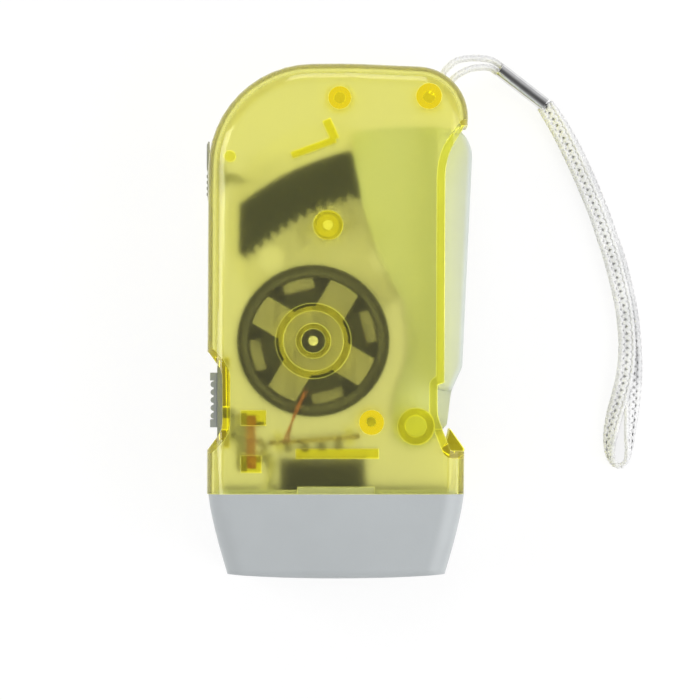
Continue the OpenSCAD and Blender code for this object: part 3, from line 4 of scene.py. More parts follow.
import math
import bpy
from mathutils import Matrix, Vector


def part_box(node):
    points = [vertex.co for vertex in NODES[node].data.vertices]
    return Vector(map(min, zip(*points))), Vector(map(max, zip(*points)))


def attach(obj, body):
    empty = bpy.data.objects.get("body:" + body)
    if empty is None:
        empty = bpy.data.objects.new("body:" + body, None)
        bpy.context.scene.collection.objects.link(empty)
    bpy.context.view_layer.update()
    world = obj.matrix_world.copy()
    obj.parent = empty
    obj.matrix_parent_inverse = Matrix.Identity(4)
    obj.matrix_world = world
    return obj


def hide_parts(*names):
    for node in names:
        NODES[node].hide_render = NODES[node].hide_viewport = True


bl_info = {
    "name": "Hand press dynamo flashlight",
    "version": (1, 0, 0),
    "blender": (4, 5, 0),
    "location": "3D View > Sidebar > Torch",
    "description": "Finishes, braided wrist strap, wound coil and stage for a clear squeeze torch",
    "category": "Object",
}

from collections import namedtuple

import bpy
from bpy.props import FloatProperty, FloatVectorProperty, IntProperty, PointerProperty
from bpy.types import Operator, Panel, PropertyGroup
from mathutils import Matrix, Vector

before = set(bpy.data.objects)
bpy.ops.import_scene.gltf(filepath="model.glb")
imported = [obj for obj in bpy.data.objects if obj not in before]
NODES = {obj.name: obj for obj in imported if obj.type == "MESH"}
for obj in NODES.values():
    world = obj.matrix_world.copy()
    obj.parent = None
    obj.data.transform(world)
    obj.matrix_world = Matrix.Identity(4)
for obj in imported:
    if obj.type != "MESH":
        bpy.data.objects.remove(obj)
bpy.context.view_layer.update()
MM = 0.001
BLACK = (0, 0, 0)
WHITE = (1.0, 1.0, 1.0)

# Stage, in metres: the photo's camera straight above, its lens and sensor in millimetres, the floor, and
# each lamp's place and its share of the lamp power
CAMERA_AT = (0.00232, -0.00599, 1.3)
CAMERA_LENS = 317.7
CAMERA_SENSOR = 36
CAMERA_RANGE = (0.01, 10)
FLOOR_HALF = 3.0
FLOOR_LEVEL = -0.00002
FLOOR_GLOW = 1.06
FLOOR_GLOW_SHARE = 0.8
LAMPS = [("left lamp", (-0.75, 0.15, 0.75), 1.0), ("right lamp", (0.42, -0.15, 0.3), 0.42),
         ("far lamp", (0.0, 0.95, 0.7), 0.8)]
LAMP_SIZE = 0.5
# How far up a direction points where the room's light begins to change to its level above, and where it
# has changed
ROOM_CHANGE = (0.55, 0.97)

# Routes of the strap's pieces, in millimetres, as in the part's source
STRAND_OUT = [(20.6, 49.6, 9), (21.5, 51.4, 9), (22.8, 53.1, 8.7), (24.6, 54.5, 7.8), (27.2, 55.1, 6.2),
              (29.8, 55.2, 4.6), (31.8, 54.9, 3.7), (33, 54.4, 3.35), (34.1, 53.5, 3.25)]
STRAND_TURN = [(35.2, 52.6, 3.1), (36.1, 51.6, 3), (36.2, 50.9, 2.95), (35.5, 50.8, 3), (34.5, 51.4, 3.15)]
STRAND_BACK = [(33.1, 52.35, 3.3), (32.1, 53.1, 3.6), (30.9, 53.3, 4.4), (29, 53.2, 5.6), (27, 52.7, 7.1),
               (25, 51.6, 8.4), (23.6, 50.4, 9), (22.4, 48.9, 9)]
STRAP_LOOP = [(43.3, 45.4, 2.3), (45.8, 41.2, 2.2), (48.1, 36.8, 2.2), (50, 32.8, 2.2), (51.6, 29.2, 2.2),
              (53.2, 25.4, 2.2), (54.6, 21.8, 2.2), (55.8, 18.2, 2.2), (57, 14.6, 2.2), (58, 11, 2.2),
              (58.9, 7.4, 2.2), (59.7, 3.8, 2.2), (60.2, 0.2, 2.2), (60.5, -3.4, 2.2), (60.5, -7, 2.2),
              (60.1, -11, 2.2), (59.2, -15, 2.1), (58.1, -19, 2), (57.2, -23, 2), (56.9, -26, 2),
              (57.1, -28.4, 2), (58, -30, 2), (59.3, -30.3, 2), (60.4, -29.2, 2), (60.9, -27, 2),
              (61.1, -23.5, 1.9), (61.5, -19, 1.6), (61.8, -14.6, 1.2), (62, -10.4, 0.9), (62, -6.6, 0.75),
              (61.7, -3, 0.7), (61.3, 0.6, 0.7), (60.7, 4.2, 0.7), (59.9, 7.8, 0.7), (59, 11.4, 0.7),
              (57.9, 15, 0.7), (56.6, 18.6, 0.7), (55.4, 22, 0.7), (54, 25.6, 0.7), (52.4, 29.4, 0.7),
              (50.8, 33, 0.7), (48.8, 37, 0.75), (46.4, 41.2, 1), (43.6, 45.1, 1.6)]
# The point of the loop where the strap stands on its edge, and how many points away it lies flat again
TURN_POINT = 22
TURN_REACH = 7
CURVE_PARTS = 24

# A braid in millimetres: its section, its yarns each way round, the length in which one goes round once,
# the width and thickness of a yarn, and the sides that a yarn's section has
Braid = namedtuple("Braid", "width thickness yarns lay yarn_width yarn_thickness yarn_sides")
STRAP_STEP = 0.36
STRAP_YARN = (0.86, 0.4, 6)
STRAND_STEP = 0.2
STRAND_YARNS = 4
STRAND_LAY = 3.6
STRAND_YARN = (0.66, 0.34, 5)
# Powers that press a round braid flat, across its width and its thickness: 1 leaves it round
FLATNESS = (0.7, 0.55)

# Coil: the gap at each end in millimetres, the bore's share of the radius, and the points along one turn
# of wire
COIL_GAP = 0.05
COIL_BORE = 0.5
WIRE_POINTS = 4

# The middle of the case in metres, which tells its outer faces from its inner ones
CASE_CENTRE = (0.0, 0.0, 0.0165)
# Places of painted glow in the clear case, in millimetres: the boss over the gear axle with its radius,
# and its lowest level; and the posts of the two shells, the level where they meet, how near it they glow,
# and the share of painted glow there
GEAR_BOSS = ((-2.14, 19.69), 2.35)
GEAR_BOSS_LEVEL = 18
POSTS = [((0.22, 45.9), 2.45), ((18.5, 46.17), 2.75), ((6.77, -20.88), 2.75)]
POST_LEVEL = 16.5
POST_NEAR = 0.3
POST_SHARE = 0.85
# The width in millimetres over which a disc of painted glow fades out
DISC_RIM = 0.1
# Between these ray depths, a wall of the case takes up its painted piped glow, emission that stands in for
# light led along the wall
PIPED_DEPTHS = (5.5, 7.5)

# Finishes: how much a rounded edge turns the face where it begins to show and where it shows in full, the
# radius of the edges in metres, the share of paler colour on them, and the share of a board between tracks
EDGE_TURN = (0.02, 0.25)
MOULDED_EDGE = 0.00025
METAL_EDGE = 0.0001
MILKY_EDGE = 0.0002
PALE_EDGE_SHARE = 0.8
TRACK_SHARE = 0.62

# Nodes of the frame: points nearer than this, in metres, are joined, and edges above this angle stay sharp
MERGE_DISTANCE = 0.000002
SHARP_DEGREES = 33


def paint(red, green, blue):
    """A colour as seen on a screen, 0 to 255, as the linear numbers that a material takes."""
    def linear(c):
        c = c / 255
        return c / 12.92 if c <= 0.04045 else ((c + 0.055) / 1.055) ** 2.4
    return (linear(red), linear(green), linear(blue))


class Value:
    """A socket in a node tree. Maths on it adds Math nodes to the tree."""

    def __init__(self, tree, socket):
        self.tree = tree
        self.socket = socket

    def out(self, name):
        """Another output of the same node."""
        return Value(self.tree, self.socket.node.outputs[name])

    def __add__(self, other):
        return self.tree.maths("ADD", self, other)

    def __sub__(self, other):
        return self.tree.maths("SUBTRACT", self, other)

    def __rsub__(self, other):
        return self.tree.maths("SUBTRACT", other, self)

    def __mul__(self, other):
        return self.tree.maths("MULTIPLY", self, other)

    def __gt__(self, other):
        return self.tree.maths("GREATER_THAN", self, other)

    __radd__ = __add__


class Tree:
    """A node tree under way, and short ways to add to it."""

    def __init__(self, tree):
        self.tree = tree
        self.tree.nodes.clear()

    def add(self, kind, settings=None, sockets=None):
        """Adds a node: its settings first, then the values or links of its sockets."""
        made = self.tree.nodes.new(kind)
        for name, value in (settings or {}).items():
            setattr(made, name, value)
        for key, value in (sockets or {}).items():
            socket = made.inputs[key]
            if isinstance(value, Value):
                self.tree.links.new(value.socket, socket)
            elif isinstance(value, tuple) and len(value) == 3 and socket.type == "RGBA":
                socket.default_value = (*value, 1)
            else:
                socket.default_value = value
        return made

    def node(self, kind, settings=None, sockets=None, out=0):
        """Adds a node and gives one of its outputs."""
        return Value(self, self.add(kind, settings, sockets).outputs[out])

    def maths(self, operation, a, b=0.0):
        return self.node("ShaderNodeMath", {"operation": operation}, {0: a, 1: b})

    def vector(self, operation, a, b, out=0):
        return self.node("ShaderNodeVectorMath", {"operation": operation}, {0: a, 1: b}, out)

    def mix(self, factor, a, b):
        """Two colours mixed. The numbers are the Mix node's colour sockets."""
        return self.node("ShaderNodeMix", {"data_type": "RGBA"}, {0: factor, 6: a, 7: b}, 2)

    def blend(self, factor, a, b):
        """Two shaders mixed."""
        return self.node("ShaderNodeMixShader", None, {0: factor, 1: a, 2: b})

    def emission(self, colour, strength=1.0):
        return self.node("ShaderNodeEmission", None, {"Color": colour, "Strength": strength})


class Finish(Tree):
    """A material under way."""

    def __init__(self, name):
        self.material = bpy.data.materials.new(name)
        self.material.use_nodes = True
        super().__init__(self.material.node_tree)

    def place(self):
        return self.node("ShaderNodeTexCoord").out("Object")

    def noise(self, scale, detail=2.0, rough=0.5, at=None):
        sockets = {"Vector": at or self.place(), "Scale": scale, "Detail": detail, "Roughness": rough}
        return self.node("ShaderNodeTexNoise", None, sockets)

    def ramp(self, value, low, high):
        """The value stretched so that low is 0 and high is 1."""
        return self.node("ShaderNodeMapRange", {"clamp": True},
                         {"Value": value, "From Min": low, "From Max": high})

    def spread(self, value, low, high, middle, width):
        """The value stretched from low to high over a width about a middle."""
        return self.ramp(value, low, high) * width + (middle - width / 2)

    def bump(self, height, depth, strength, under=None):
        sockets = {"Height": height, "Distance": depth, "Strength": strength}
        if under is not None:
            sockets["Normal"] = under
        return self.node("ShaderNodeBump", None, sockets)

    def soft_edges(self, radius):
        """The normal of a face whose edges are rounded."""
        return self.node("ShaderNodeBevel", {"samples": 4}, {"Radius": radius})

    def edge_share(self, rounded):
        """1 on an edge that soft_edges rounds, and 0 away from it."""
        normal = self.node("ShaderNodeNewGeometry").out("Normal")
        return self.ramp(1 - self.vector("DOT_PRODUCT", rounded, normal, "Value"), *EDGE_TURN)

    def disc(self, at, centre, radius):
        """1 within a radius of a line along Z through centre, both in millimetres, and 0 outside."""
        flat = self.vector("MULTIPLY", at, (1, 1, 0))
        away = self.vector("DISTANCE", flat, (centre[0] * MM, centre[1] * MM, 0), "Value")
        return 1 - self.ramp(away, (radius - DISC_RIM) * MM, radius * MM)

    def skin(self, **sockets):
        """The main shader, with its sockets named in words: base_color, roughness, and so on."""
        return self.node("ShaderNodeBsdfPrincipled", None,
                         {name.replace("_", " ").title().replace("Ior", "IOR"): value
                          for name, value in sockets.items()})

    def done(self, surface, volume=None):
        sockets = {"Surface": surface}
        if volume is not None:
            sockets["Volume"] = volume
        self.add("ShaderNodeOutputMaterial", None, sockets)
        return self.material


def lit_through(finish, surface, tint):
    """Lets the lamps' light in through a clear piece."""
    shadow = finish.node("ShaderNodeLightPath").out("Is Shadow Ray")
    window = finish.node("ShaderNodeBsdfTransparent", None, {"Color": tint})
    return finish.blend(shadow, surface, window)


def scratched(finish, roughness):
    """The roughness of a polished face with a few scratches."""
    return roughness + finish.ramp(finish.noise(900.0, detail=4.0), low=0.55, high=0.9) * 0.05


def clear_case_finish(look):
    """Clear plastic, smooth outside and frosted inside, with painted glow at its edges, walls and bosses:
    emission that stands in for light.
    """
    f = Finish("clear yellow case")
    geometry = f.node("ShaderNodeNewGeometry")
    backfacing = geometry.out("Backfacing")
    outward = f.vector("SUBTRACT", geometry.out("Position"), CASE_CENTRE)
    facing = f.vector("DOT_PRODUCT", geometry.out("Normal"), outward, "Value")
    inside = 1 - (facing * (1 - backfacing * 2) > 0.0)
    wave = f.noise(55.0, detail=1.0)
    grain = f.noise(2600.0, detail=2.0)
    rough = inside * look.inner_frost + look.outer_gloss + f.ramp(grain, low=0.45, high=0.8) * 0.03
    normal = f.bump(wave + grain * 0.004, depth=0.0012, strength=0.35)
    # painted glow: emission along the case's rounded edges stands in for light that the plastic gathers
    # there
    glow = f.mix(f.edge_share(f.soft_edges(look.edge_glow_width)), BLACK, look.painted_edge_glow[:])
    # painted glow: emission on back faces reached by deep rays stands in for light led along a thick wall
    piped = f.ramp(f.node("ShaderNodeLightPath").out("Ray Depth"), *PIPED_DEPTHS) * backfacing
    glow = f.mix(piped, glow, look.painted_piped_glow[:])
    at = f.place()
    height = f.node("ShaderNodeSeparateXYZ", None, {0: at}, "Z")
    # painted glow: a disc of emission on the inner faces of the boss over the gear axle
    boss = inside * (height > GEAR_BOSS_LEVEL * MM) * f.disc(at, *GEAR_BOSS)
    glow = f.mix(boss, glow, look.painted_boss_glow[:])
    # painted glow: discs of emission where the posts of the two shells meet
    near = 1 - (f.maths("ABSOLUTE", height - POST_LEVEL * MM) > POST_NEAR * MM)
    ends = sum(near * f.disc(at, *post) for post in POSTS)
    surface = f.skin(base_color=paint(*look.case_rgb), roughness=rough, ior=look.case_ior,
                     transmission_weight=look.case_clearness, emission_color=glow, emission_strength=1.0,
                     normal=normal)
    surface = f.blend(ends * POST_SHARE, surface, f.emission(look.painted_post_glow[:]))
    colour = tuple(1 - a / look.absorb_density for a in look.absorb)
    volume = f.node("ShaderNodeVolumeAbsorption", None, {"Color": colour, "Density": look.absorb_density})
    return f.done(lit_through(f, surface, look.shadow_tint[:]), volume)


def clear_finish(name, colour, roughness, ior):
    """Clear resin."""
    f = Finish(name)
    surface = f.skin(base_color=colour, roughness=scratched(f, roughness), ior=ior,
                     transmission_weight=0.98)
    return f.done(lit_through(f, surface, (0.93, 0.94, 0.95)))


def window_finish(name, tint, roughness, ior):
    """A polished window that lies on the piece behind it: light goes straight through, and its faces
    reflect."""
    f = Finish(name)
    bright = f.skin(base_color=tint, metallic=1.0, roughness=scratched(f, roughness))
    window = f.node("ShaderNodeBsdfTransparent", None, {"Color": tint})
    glance = f.node("ShaderNodeFresnel", None, {"IOR": ior})
    return f.done(f.blend(glance, window, bright))


def milky_finish(name, colour, roughness, clearness):
    """Natural nylon: it lets much of the light through and blurs what is behind."""
    f = Finish(name)
    fine = f.noise(1500.0, detail=3.0, rough=0.6)
    normal = f.bump(fine, depth=0.00003, strength=0.5, under=f.soft_edges(MILKY_EDGE))
    rough = f.spread(fine, low=0.2, high=0.8, middle=roughness, width=0.08)
    surface = f.skin(base_color=colour, roughness=rough, ior=1.4, transmission_weight=clearness,
                     normal=normal)
    return f.done(lit_through(f, surface, (0.95, 0.95, 0.93)))


def moulded_finish(name, colour, roughness, fleck, grain=1800.0, depth=0.00004, shine=0.5):
    """Moulded plastic: a fine grain, a faint cloud of colour and rounded edges that are a little paler."""
    f = Finish(name)
    at = f.place()
    cloud = f.noise(90.0, detail=3.0, rough=0.6, at=at)
    fine = f.noise(grain, detail=3.0, rough=0.6, at=at)
    rounded = f.soft_edges(MOULDED_EDGE)
    dark = tuple(c * (1 - fleck) for c in colour)
    pale = tuple(min(1.0, c * (1 + fleck) + 0.012) for c in colour)
    base = f.mix(f.ramp(cloud, low=0.3, high=0.7), dark, colour)
    # paler colour along the rounded edges
    base = f.mix(f.edge_share(rounded) * PALE_EDGE_SHARE, base, pale)
    rough = f.spread(fine, low=0.2, high=0.8, middle=roughness, width=0.1)
    normal = f.bump(fine, depth, strength=0.5, under=rounded)
    return f.done(f.skin(base_color=base, roughness=rough, specular_ior_level=shine, normal=normal))


def metal_finish(name, colour, roughness, brush=(60.0, 60.0, 1400.0), metallic=1.0, within=0.0):
    """Bright or plated metal with fine drawn lines and a faint stain. Its inner faces, which a ray can
    reach where a window lies on it, are painted black and give off the grey level within as painted glow."""
    f = Finish(name)
    at = f.place()
    drawn = f.noise(1.0, detail=2.0, rough=0.6, at=f.vector("MULTIPLY", at, brush))
    stain = f.noise(260.0, detail=4.0, rough=0.6, at=at)
    base = f.mix(f.ramp(stain, low=0.35, high=0.75), colour, tuple(c * 0.8 for c in colour))
    glow = BLACK
    # painted glow: inner faces turn black and emit the grey level within, standing in for light
    if within:
        inner = f.node("ShaderNodeNewGeometry").out("Backfacing")
        base = f.mix(inner, base, BLACK)
        glow = f.mix(inner, BLACK, (within, within, within))
    rough = f.spread(drawn, low=0.3, high=0.7, middle=roughness, width=0.14)
    normal = f.bump(drawn, depth=0.00002, strength=0.4, under=f.soft_edges(METAL_EDGE))
    return f.done(f.skin(base_color=base, metallic=metallic, roughness=rough, emission_color=glow,
                         emission_strength=1.0, normal=normal))


def board_finish(name, colour, track):
    """Circuit board: resin over faint fibres, with paler tracks."""
    f = Finish(name)
    at = f.place()
    fibre = f.noise(1.0, detail=3.0, rough=0.6, at=f.vector("MULTIPLY", at, (300.0, 2600.0, 300.0)))
    cells = f.node("ShaderNodeTexVoronoi", {"distance": "MANHATTAN"}, {"Vector": at, "Scale": 420.0})
    tracks = f.ramp(cells.out("Distance"), TRACK_SHARE - 0.02, TRACK_SHARE + 0.02)
    base = f.mix(f.ramp(fibre, low=0.3, high=0.7), tuple(c * 0.85 for c in colour), colour)
    base = f.mix(tracks, base, track)
    return f.done(f.skin(base_color=base, roughness=fibre * 0.1 + 0.36,
                         normal=f.bump(tracks + fibre, depth=0.00006, strength=0.5)))


def braid_finish(name, colour, shade):
    """White yarn: fine fibres along the strands, greyer where it is soiled, with a soft sheen."""
    f = Finish(name)
    at = f.place()
    fibre = f.noise(9000.0, detail=3.0, rough=0.7, at=at)
    soil = f.noise(140.0, detail=3.0, rough=0.6, at=at)
    base = f.mix(f.ramp(soil, low=0.45, high=0.8) * 0.6, colour, shade)
    base = f.mix(f.ramp(fibre, low=0.5, high=0.8) * 0.35, base, shade)
    return f.done(f.skin(base_color=base, roughness=fibre * 0.12 + 0.7, sheen_weight=0.25,
                         normal=f.bump(fibre, depth=0.00008, strength=0.6)))


def winding_finish(name, colour, deep):
    """Enamelled wire: copper with darker varnish in places."""
    f = Finish(name)
    varnish = f.noise(500.0, detail=3.0, rough=0.6)
    base = f.mix(f.ramp(varnish, low=0.35, high=0.75), colour, deep)
    return f.done(f.skin(base_color=base, metallic=0.75, roughness=varnish * 0.15 + 0.28, coat_weight=0.4,
                         coat_roughness=0.15, normal=f.bump(varnish, depth=0.00003, strength=0.4)))


def smooth_route(points, step):
    """Evenly spaced points on a curve through the route's points, each with its place along them, and the
    curve's length."""
    p = [Vector(q) for q in points]
    fine = []
    for i in range(len(p) - 1):
        a, b, c, d = p[max(i - 1, 0)], p[i], p[i + 1], p[min(i + 2, len(p) - 1)]
        for k in range(CURVE_PARTS):
            t = k / CURVE_PARTS
            fine.append((0.5 * ((2 * b) + (c - a) * t + (2 * a - 5 * b + 4 * c - d) * t ** 2
                                + (3 * b - a - 3 * c + d) * t ** 3), i + t))
    fine.append((p[-1], len(p) - 1))
    lengths = [0.0]
    for (a, _), (b, _) in zip(fine, fine[1:]):
        lengths.append(lengths[-1] + (b - a).length)
    count = max(2, round(lengths[-1] / step))
    result, j = [], 0
    for k in range(count + 1):
        want = lengths[-1] * k / count
        while j < len(fine) - 2 and lengths[j + 1] < want:
            j += 1
        span = lengths[j + 1] - lengths[j]
        t = (want - lengths[j]) / span if span else 0.0
        result.append((fine[j][0].lerp(fine[j + 1][0], t), fine[j][1] + (fine[j + 1][1] - fine[j][1]) * t))
    return result, lengths[-1]


def strap_frames(route, roll):
    """The side and the up of the strap at each point of its route, rolled by roll(place) in radians."""
    frames = []
    for i, (_, place) in enumerate(route):
        way = (route[min(i + 1, len(route) - 1)][0] - route[max(i - 1, 0)][0]).normalized()
        side = way.cross(Vector((0, 0, 1))).normalized()
        up = side.cross(way).normalized()
        turn = Matrix.Rotation(roll(place), 3, way)
        frames.append((turn @ side, turn @ up))
    return frames


def on_edge(place):
    """How far the strap rolls at a place on its loop: a quarter turn where the loop turns back."""
    near = max(0.0, 1 - abs(place - TURN_POINT) / TURN_REACH)
    return math.radians(90) * near * near * (3 - 2 * near)


def lying_flat(place):
    """No roll."""
    return 0.0


def yarn_rings(braid, route, step, frames, way_round, yarn):
    """The middle of one yarn at each point of the route, and the way out of the braid there."""
    half_w, half_t = (braid.width - braid.yarn_thickness) / 2, (braid.thickness - braid.yarn_thickness) / 2
    lift = braid.yarn_thickness * 0.5
    start = 2 * math.pi * (yarn + 0.5 * (way_round < 0)) / braid.yarns
    rings = []
    for i, ((point, _), (side, up)) in enumerate(zip(route, frames)):
        s = i * step
        phase = way_round * 2 * math.pi * s / braid.lay + start
        over_under = way_round * math.cos(2 * math.pi * braid.yarns * s / braid.lay)
        c, d = math.cos(phase), math.sin(phase)
        flat_c = math.copysign(abs(c) ** FLATNESS[0], c)
        flat_d = math.copysign(abs(d) ** FLATNESS[1], d)
        outward = (side * (c / half_w) + up * (d / half_t)).normalized()
        middle = point + side * flat_c * (half_w - lift) + up * flat_d * (half_t - lift)
        rings.append((middle + outward * over_under * lift, outward))
    return rings


def add_yarn(braid, rings, verts, faces):
    """Adds a yarn's mesh: an oval section round each of its rings, closed at both ends."""
    first, sides = len(verts), braid.yarn_sides
    for i, (centre, outward) in enumerate(rings):
        ahead = (rings[min(i + 1, len(rings) - 1)][0] - rings[max(i - 1, 0)][0]).normalized()
        across = ahead.cross(outward).normalized()
        over = across.cross(ahead).normalized()
        for n in range(sides):
            a = 2 * math.pi * n / sides
            aside = across * math.cos(a) * braid.yarn_width / 2
            verts.append((centre + aside + over * math.sin(a) * braid.yarn_thickness / 2) * MM)
    for i in range(len(rings) - 1):
        for n in range(sides):
            a, b = first + i * sides + n, first + i * sides + (n + 1) % sides
            faces.append((a, b, b + sides, a + sides))
    faces.append(tuple(first + n for n in reversed(range(sides))))
    faces.append(tuple(first + (len(rings) - 1) * sides + n for n in range(sides)))


def braid_mesh(name, braid, route, length, frames):
    """A tubular braid, pressed flat: yarns each way round, over one and under one."""
    verts, faces = [], []
    step = length / (len(route) - 1)
    for way_round in (1, -1):
        for yarn in range(braid.yarns):
            add_yarn(braid, yarn_rings(braid, route, step, frames, way_round, yarn), verts, faces)
    return mesh_object(name, verts, faces)


def mesh_object(name, verts, faces, smooth=True):
    mesh = bpy.data.meshes.new(name)
    mesh.from_pydata([tuple(v) for v in verts], [], faces)
    mesh.validate()
    mesh.polygons.foreach_set("use_smooth", [smooth] * len(mesh.polygons))
    made = bpy.data.objects.new(name, mesh)
    bpy.context.scene.collection.objects.link(made)
    return made


def turned_mesh(name, profile, centre, segments=96):
    """A closed ring of revolution about a line along Z through centre, from (radius, height) points."""
    verts, faces, n = [], [], len(profile)
    for i in range(segments):
        a = 2 * math.pi * i / segments
        for radius, height in profile:
            x, y = centre[0] + radius * math.cos(a), centre[1] + radius * math.sin(a)
            verts.append(Vector((x, y, height)) * MM)
    for i in range(segments):
        for k in range(n):
            a, b = i * n + k, i * n + (k + 1) % n
            c, d = ((i + 1) % segments) * n + k, ((i + 1) % segments) * n + (k + 1) % n
            faces.append((a, c, d, b))
    return mesh_object(name, verts, faces)


def smoothing():
    """A node group that joins a node's facets and shades it smooth, except at sharp edges."""
    group = bpy.data.node_groups.get("torch smoothing")
    if group:
        return group
    group = bpy.data.node_groups.new("torch smoothing", "GeometryNodeTree")
    group.interface.new_socket("Geometry", in_out="INPUT", socket_type="NodeSocketGeometry")
    group.interface.new_socket("Geometry", in_out="OUTPUT", socket_type="NodeSocketGeometry")
    t = Tree(group)
    strip = t.node("GeometryNodeRemoveAttribute", None,
                   {"Geometry": t.node("NodeGroupInput"), "Name": "custom_normal"})
    merge = t.node("GeometryNodeMergeByDistance", None, {"Geometry": strip, "Distance": MERGE_DISTANCE})
    faces = t.node("GeometryNodeSetShadeSmooth", None, {"Geometry": merge})
    angle = t.node("GeometryNodeInputMeshEdgeAngle").out("Unsigned Angle")
    sharp = t.node("FunctionNodeCompare", {"operation": "GREATER_THAN"},
                   {0: angle, 1: math.radians(SHARP_DEGREES)})
    edges = t.node("GeometryNodeSetShadeSmooth", {"domain": "EDGE"},
                   {"Geometry": faces, "Selection": sharp, "Shade Smooth": False})
    t.add("NodeGroupOutput", None, {0: edges})
    return group


def dress(names, material):
    """Gives CAD nodes a material and smooth shading."""
    for name in names:
        piece = NODES[name]
        piece.data.materials.clear()
        piece.data.materials.append(material)
        piece.modifiers.new("smooth", "NODES").node_group = smoothing()


class TorchSizes(PropertyGroup):
    """Sizes of the pieces that this add-on makes itself."""
    strap_width: FloatProperty(
        name="Strap width", description="Width of the flat braid", default=0.0038, unit="LENGTH")
    strap_thickness: FloatProperty(
        name="Strap thickness", description="Thickness of the flat braid", default=0.0013, unit="LENGTH")
    strand_width: FloatProperty(
        name="Strand width", description="Diameter of the two strands at the case", default=0.0015,
        unit="LENGTH")
    strap_yarns: IntProperty(
        name="Strap yarns", description="Yarns that go each way round the braid", default=7, min=3)
    strap_lay: FloatProperty(
        name="Strap lay", description="Length in which a yarn goes once round the braid", default=0.0105,
        unit="LENGTH")
    wire_pitch: FloatProperty(
        name="Wire pitch", description="Height of one turn on the coil", default=0.00042, unit="LENGTH")


class TorchLook(PropertyGroup):
    """Colours and light of the torch and its stage."""
    case_rgb: FloatVectorProperty(
        name="Case", description="Colour of the clear case's surface", size=3, default=(243, 243, 226),
        min=0, max=255)
    case_clearness: FloatProperty(
        name="Clearness", description="Share of light that the case lets through", default=0.98, min=0,
        max=1)
    case_ior: FloatProperty(
        name="Bending of light", description="Index of refraction of the case", default=1.45)
    inner_frost: FloatProperty(
        name="Inner frost", description="Roughness that the inside of the case adds", default=0.25, min=0,
        max=1)
    outer_gloss: FloatProperty(
        name="Outer gloss", description="Roughness of the outside of the case", default=0.05, min=0, max=1)
    absorb: FloatVectorProperty(
        name="Absorbed", description="Red, green and blue lost per metre of plastic", size=3,
        default=(5, 11, 300), min=0)
    absorb_density: FloatProperty(
        name="Absorption scale", description="Density of the plastic's colour", default=410)
    # Painted glow: emission along the case's edges, standing in for light gathered there
    painted_edge_glow: FloatVectorProperty(
        name="Edge glow", description="Light that the plastic gathers at its edges", size=3,
        subtype="COLOR", default=(0.75, 0.75, 0.25), min=0, max=1)
    # Width of the painted edge glow
    edge_glow_width: FloatProperty(
        name="Edge glow width", description="How far from an edge it reaches", default=0.00022,
        unit="LENGTH")
    # Painted glow: emission that stands in for light led along a thick wall
    painted_piped_glow: FloatVectorProperty(
        name="Piped glow", description="Light that a thick wall leads along itself", size=3,
        subtype="COLOR", default=(0.16, 0.14, 0.02), min=0, max=1)
    # Painted glow: emission in the boss over the gear axle
    painted_boss_glow: FloatVectorProperty(
        name="Boss glow", description="Light in the boss over the gear axle", size=3, subtype="COLOR",
        default=(0.13, 0.12, 0.01), min=0, max=1)
    # Painted glow: emission where the posts of the shells meet
    painted_post_glow: FloatVectorProperty(
        name="Post glow", description="Light where the posts of the shells meet", size=3, subtype="COLOR",
        default=(0.95, 0.82, 0.3), min=0, max=1)
    shadow_tint: FloatVectorProperty(
        name="Light let in", description="Tint of the light that passes one face", size=3, subtype="COLOR",
        default=(0.97, 0.97, 0.9), min=0, max=1)
    world_level: FloatProperty(name="Room light", description="Level of the light all round", default=0.6)
    zenith_level: FloatProperty(
        name="Room light above", description="Level of the light from straight above", default=0.1)
    lamp_power: FloatProperty(
        name="Lamp power", description="Power of a lamp whose share is 1", default=4.0, unit="POWER")


def make_camera(scene):
    camera = bpy.data.objects.new("camera", bpy.data.cameras.new("camera"))
    scene.collection.objects.link(camera)
    camera.location = CAMERA_AT
    camera.data.lens = CAMERA_LENS
    camera.data.sensor_width = CAMERA_SENSOR
    camera.data.clip_start, camera.data.clip_end = CAMERA_RANGE
    scene.camera = camera


def make_floor():
    """A white floor that looks evenly lit to the camera, in reflections and through clear pieces."""
    sides = ((-1, -1), (1, -1), (1, 1), (-1, 1))
    corners = [(x * FLOOR_HALF, y * FLOOR_HALF, FLOOR_LEVEL) for x, y in sides]
    floor = mesh_object("floor", corners, [(0, 1, 2, 3)], smooth=False)
    f = Finish("white floor")
    path = f.node("ShaderNodeLightPath")
    seen = f.maths("MAXIMUM", f.maths("MAXIMUM", path.out("Is Camera Ray"), path.out("Is Glossy Ray")),
                   path.out("Is Transmission Ray"))
    shade = f.mix(f.noise(400.0, detail=2.0), (0.91, 0.91, 0.91), (0.93, 0.93, 0.93))
    matt = f.node("ShaderNodeBsdfDiffuse", None, {"Color": shade})
    glow = f.emission(WHITE, FLOOR_GLOW)
    floor.data.materials.append(f.done(f.blend(seen * FLOOR_GLOW_SHARE, matt, glow)))


def make_room(scene, look):
    """Light all round, at its own level from above, behind a white background."""
    world = bpy.data.worlds.new("room")
    scene.world = world
    world.use_nodes = True
    t = Tree(world.node_tree)
    up = t.node("ShaderNodeSeparateXYZ", None, {0: t.node("ShaderNodeTexCoord").out("Generated")}, "Z")
    level = t.node("ShaderNodeMapRange", None,
                   {"Value": up, "From Min": ROOM_CHANGE[0], "From Max": ROOM_CHANGE[1],
                    "To Min": look.world_level, "To Max": look.zenith_level})
    light = t.node("ShaderNodeBackground", None, {"Color": WHITE, "Strength": level})
    background = t.node("ShaderNodeBackground", None, {"Color": WHITE})
    seen = t.node("ShaderNodeLightPath").out("Is Camera Ray")
    t.add("ShaderNodeOutputWorld", None, {"Surface": t.blend(seen, light, background)})


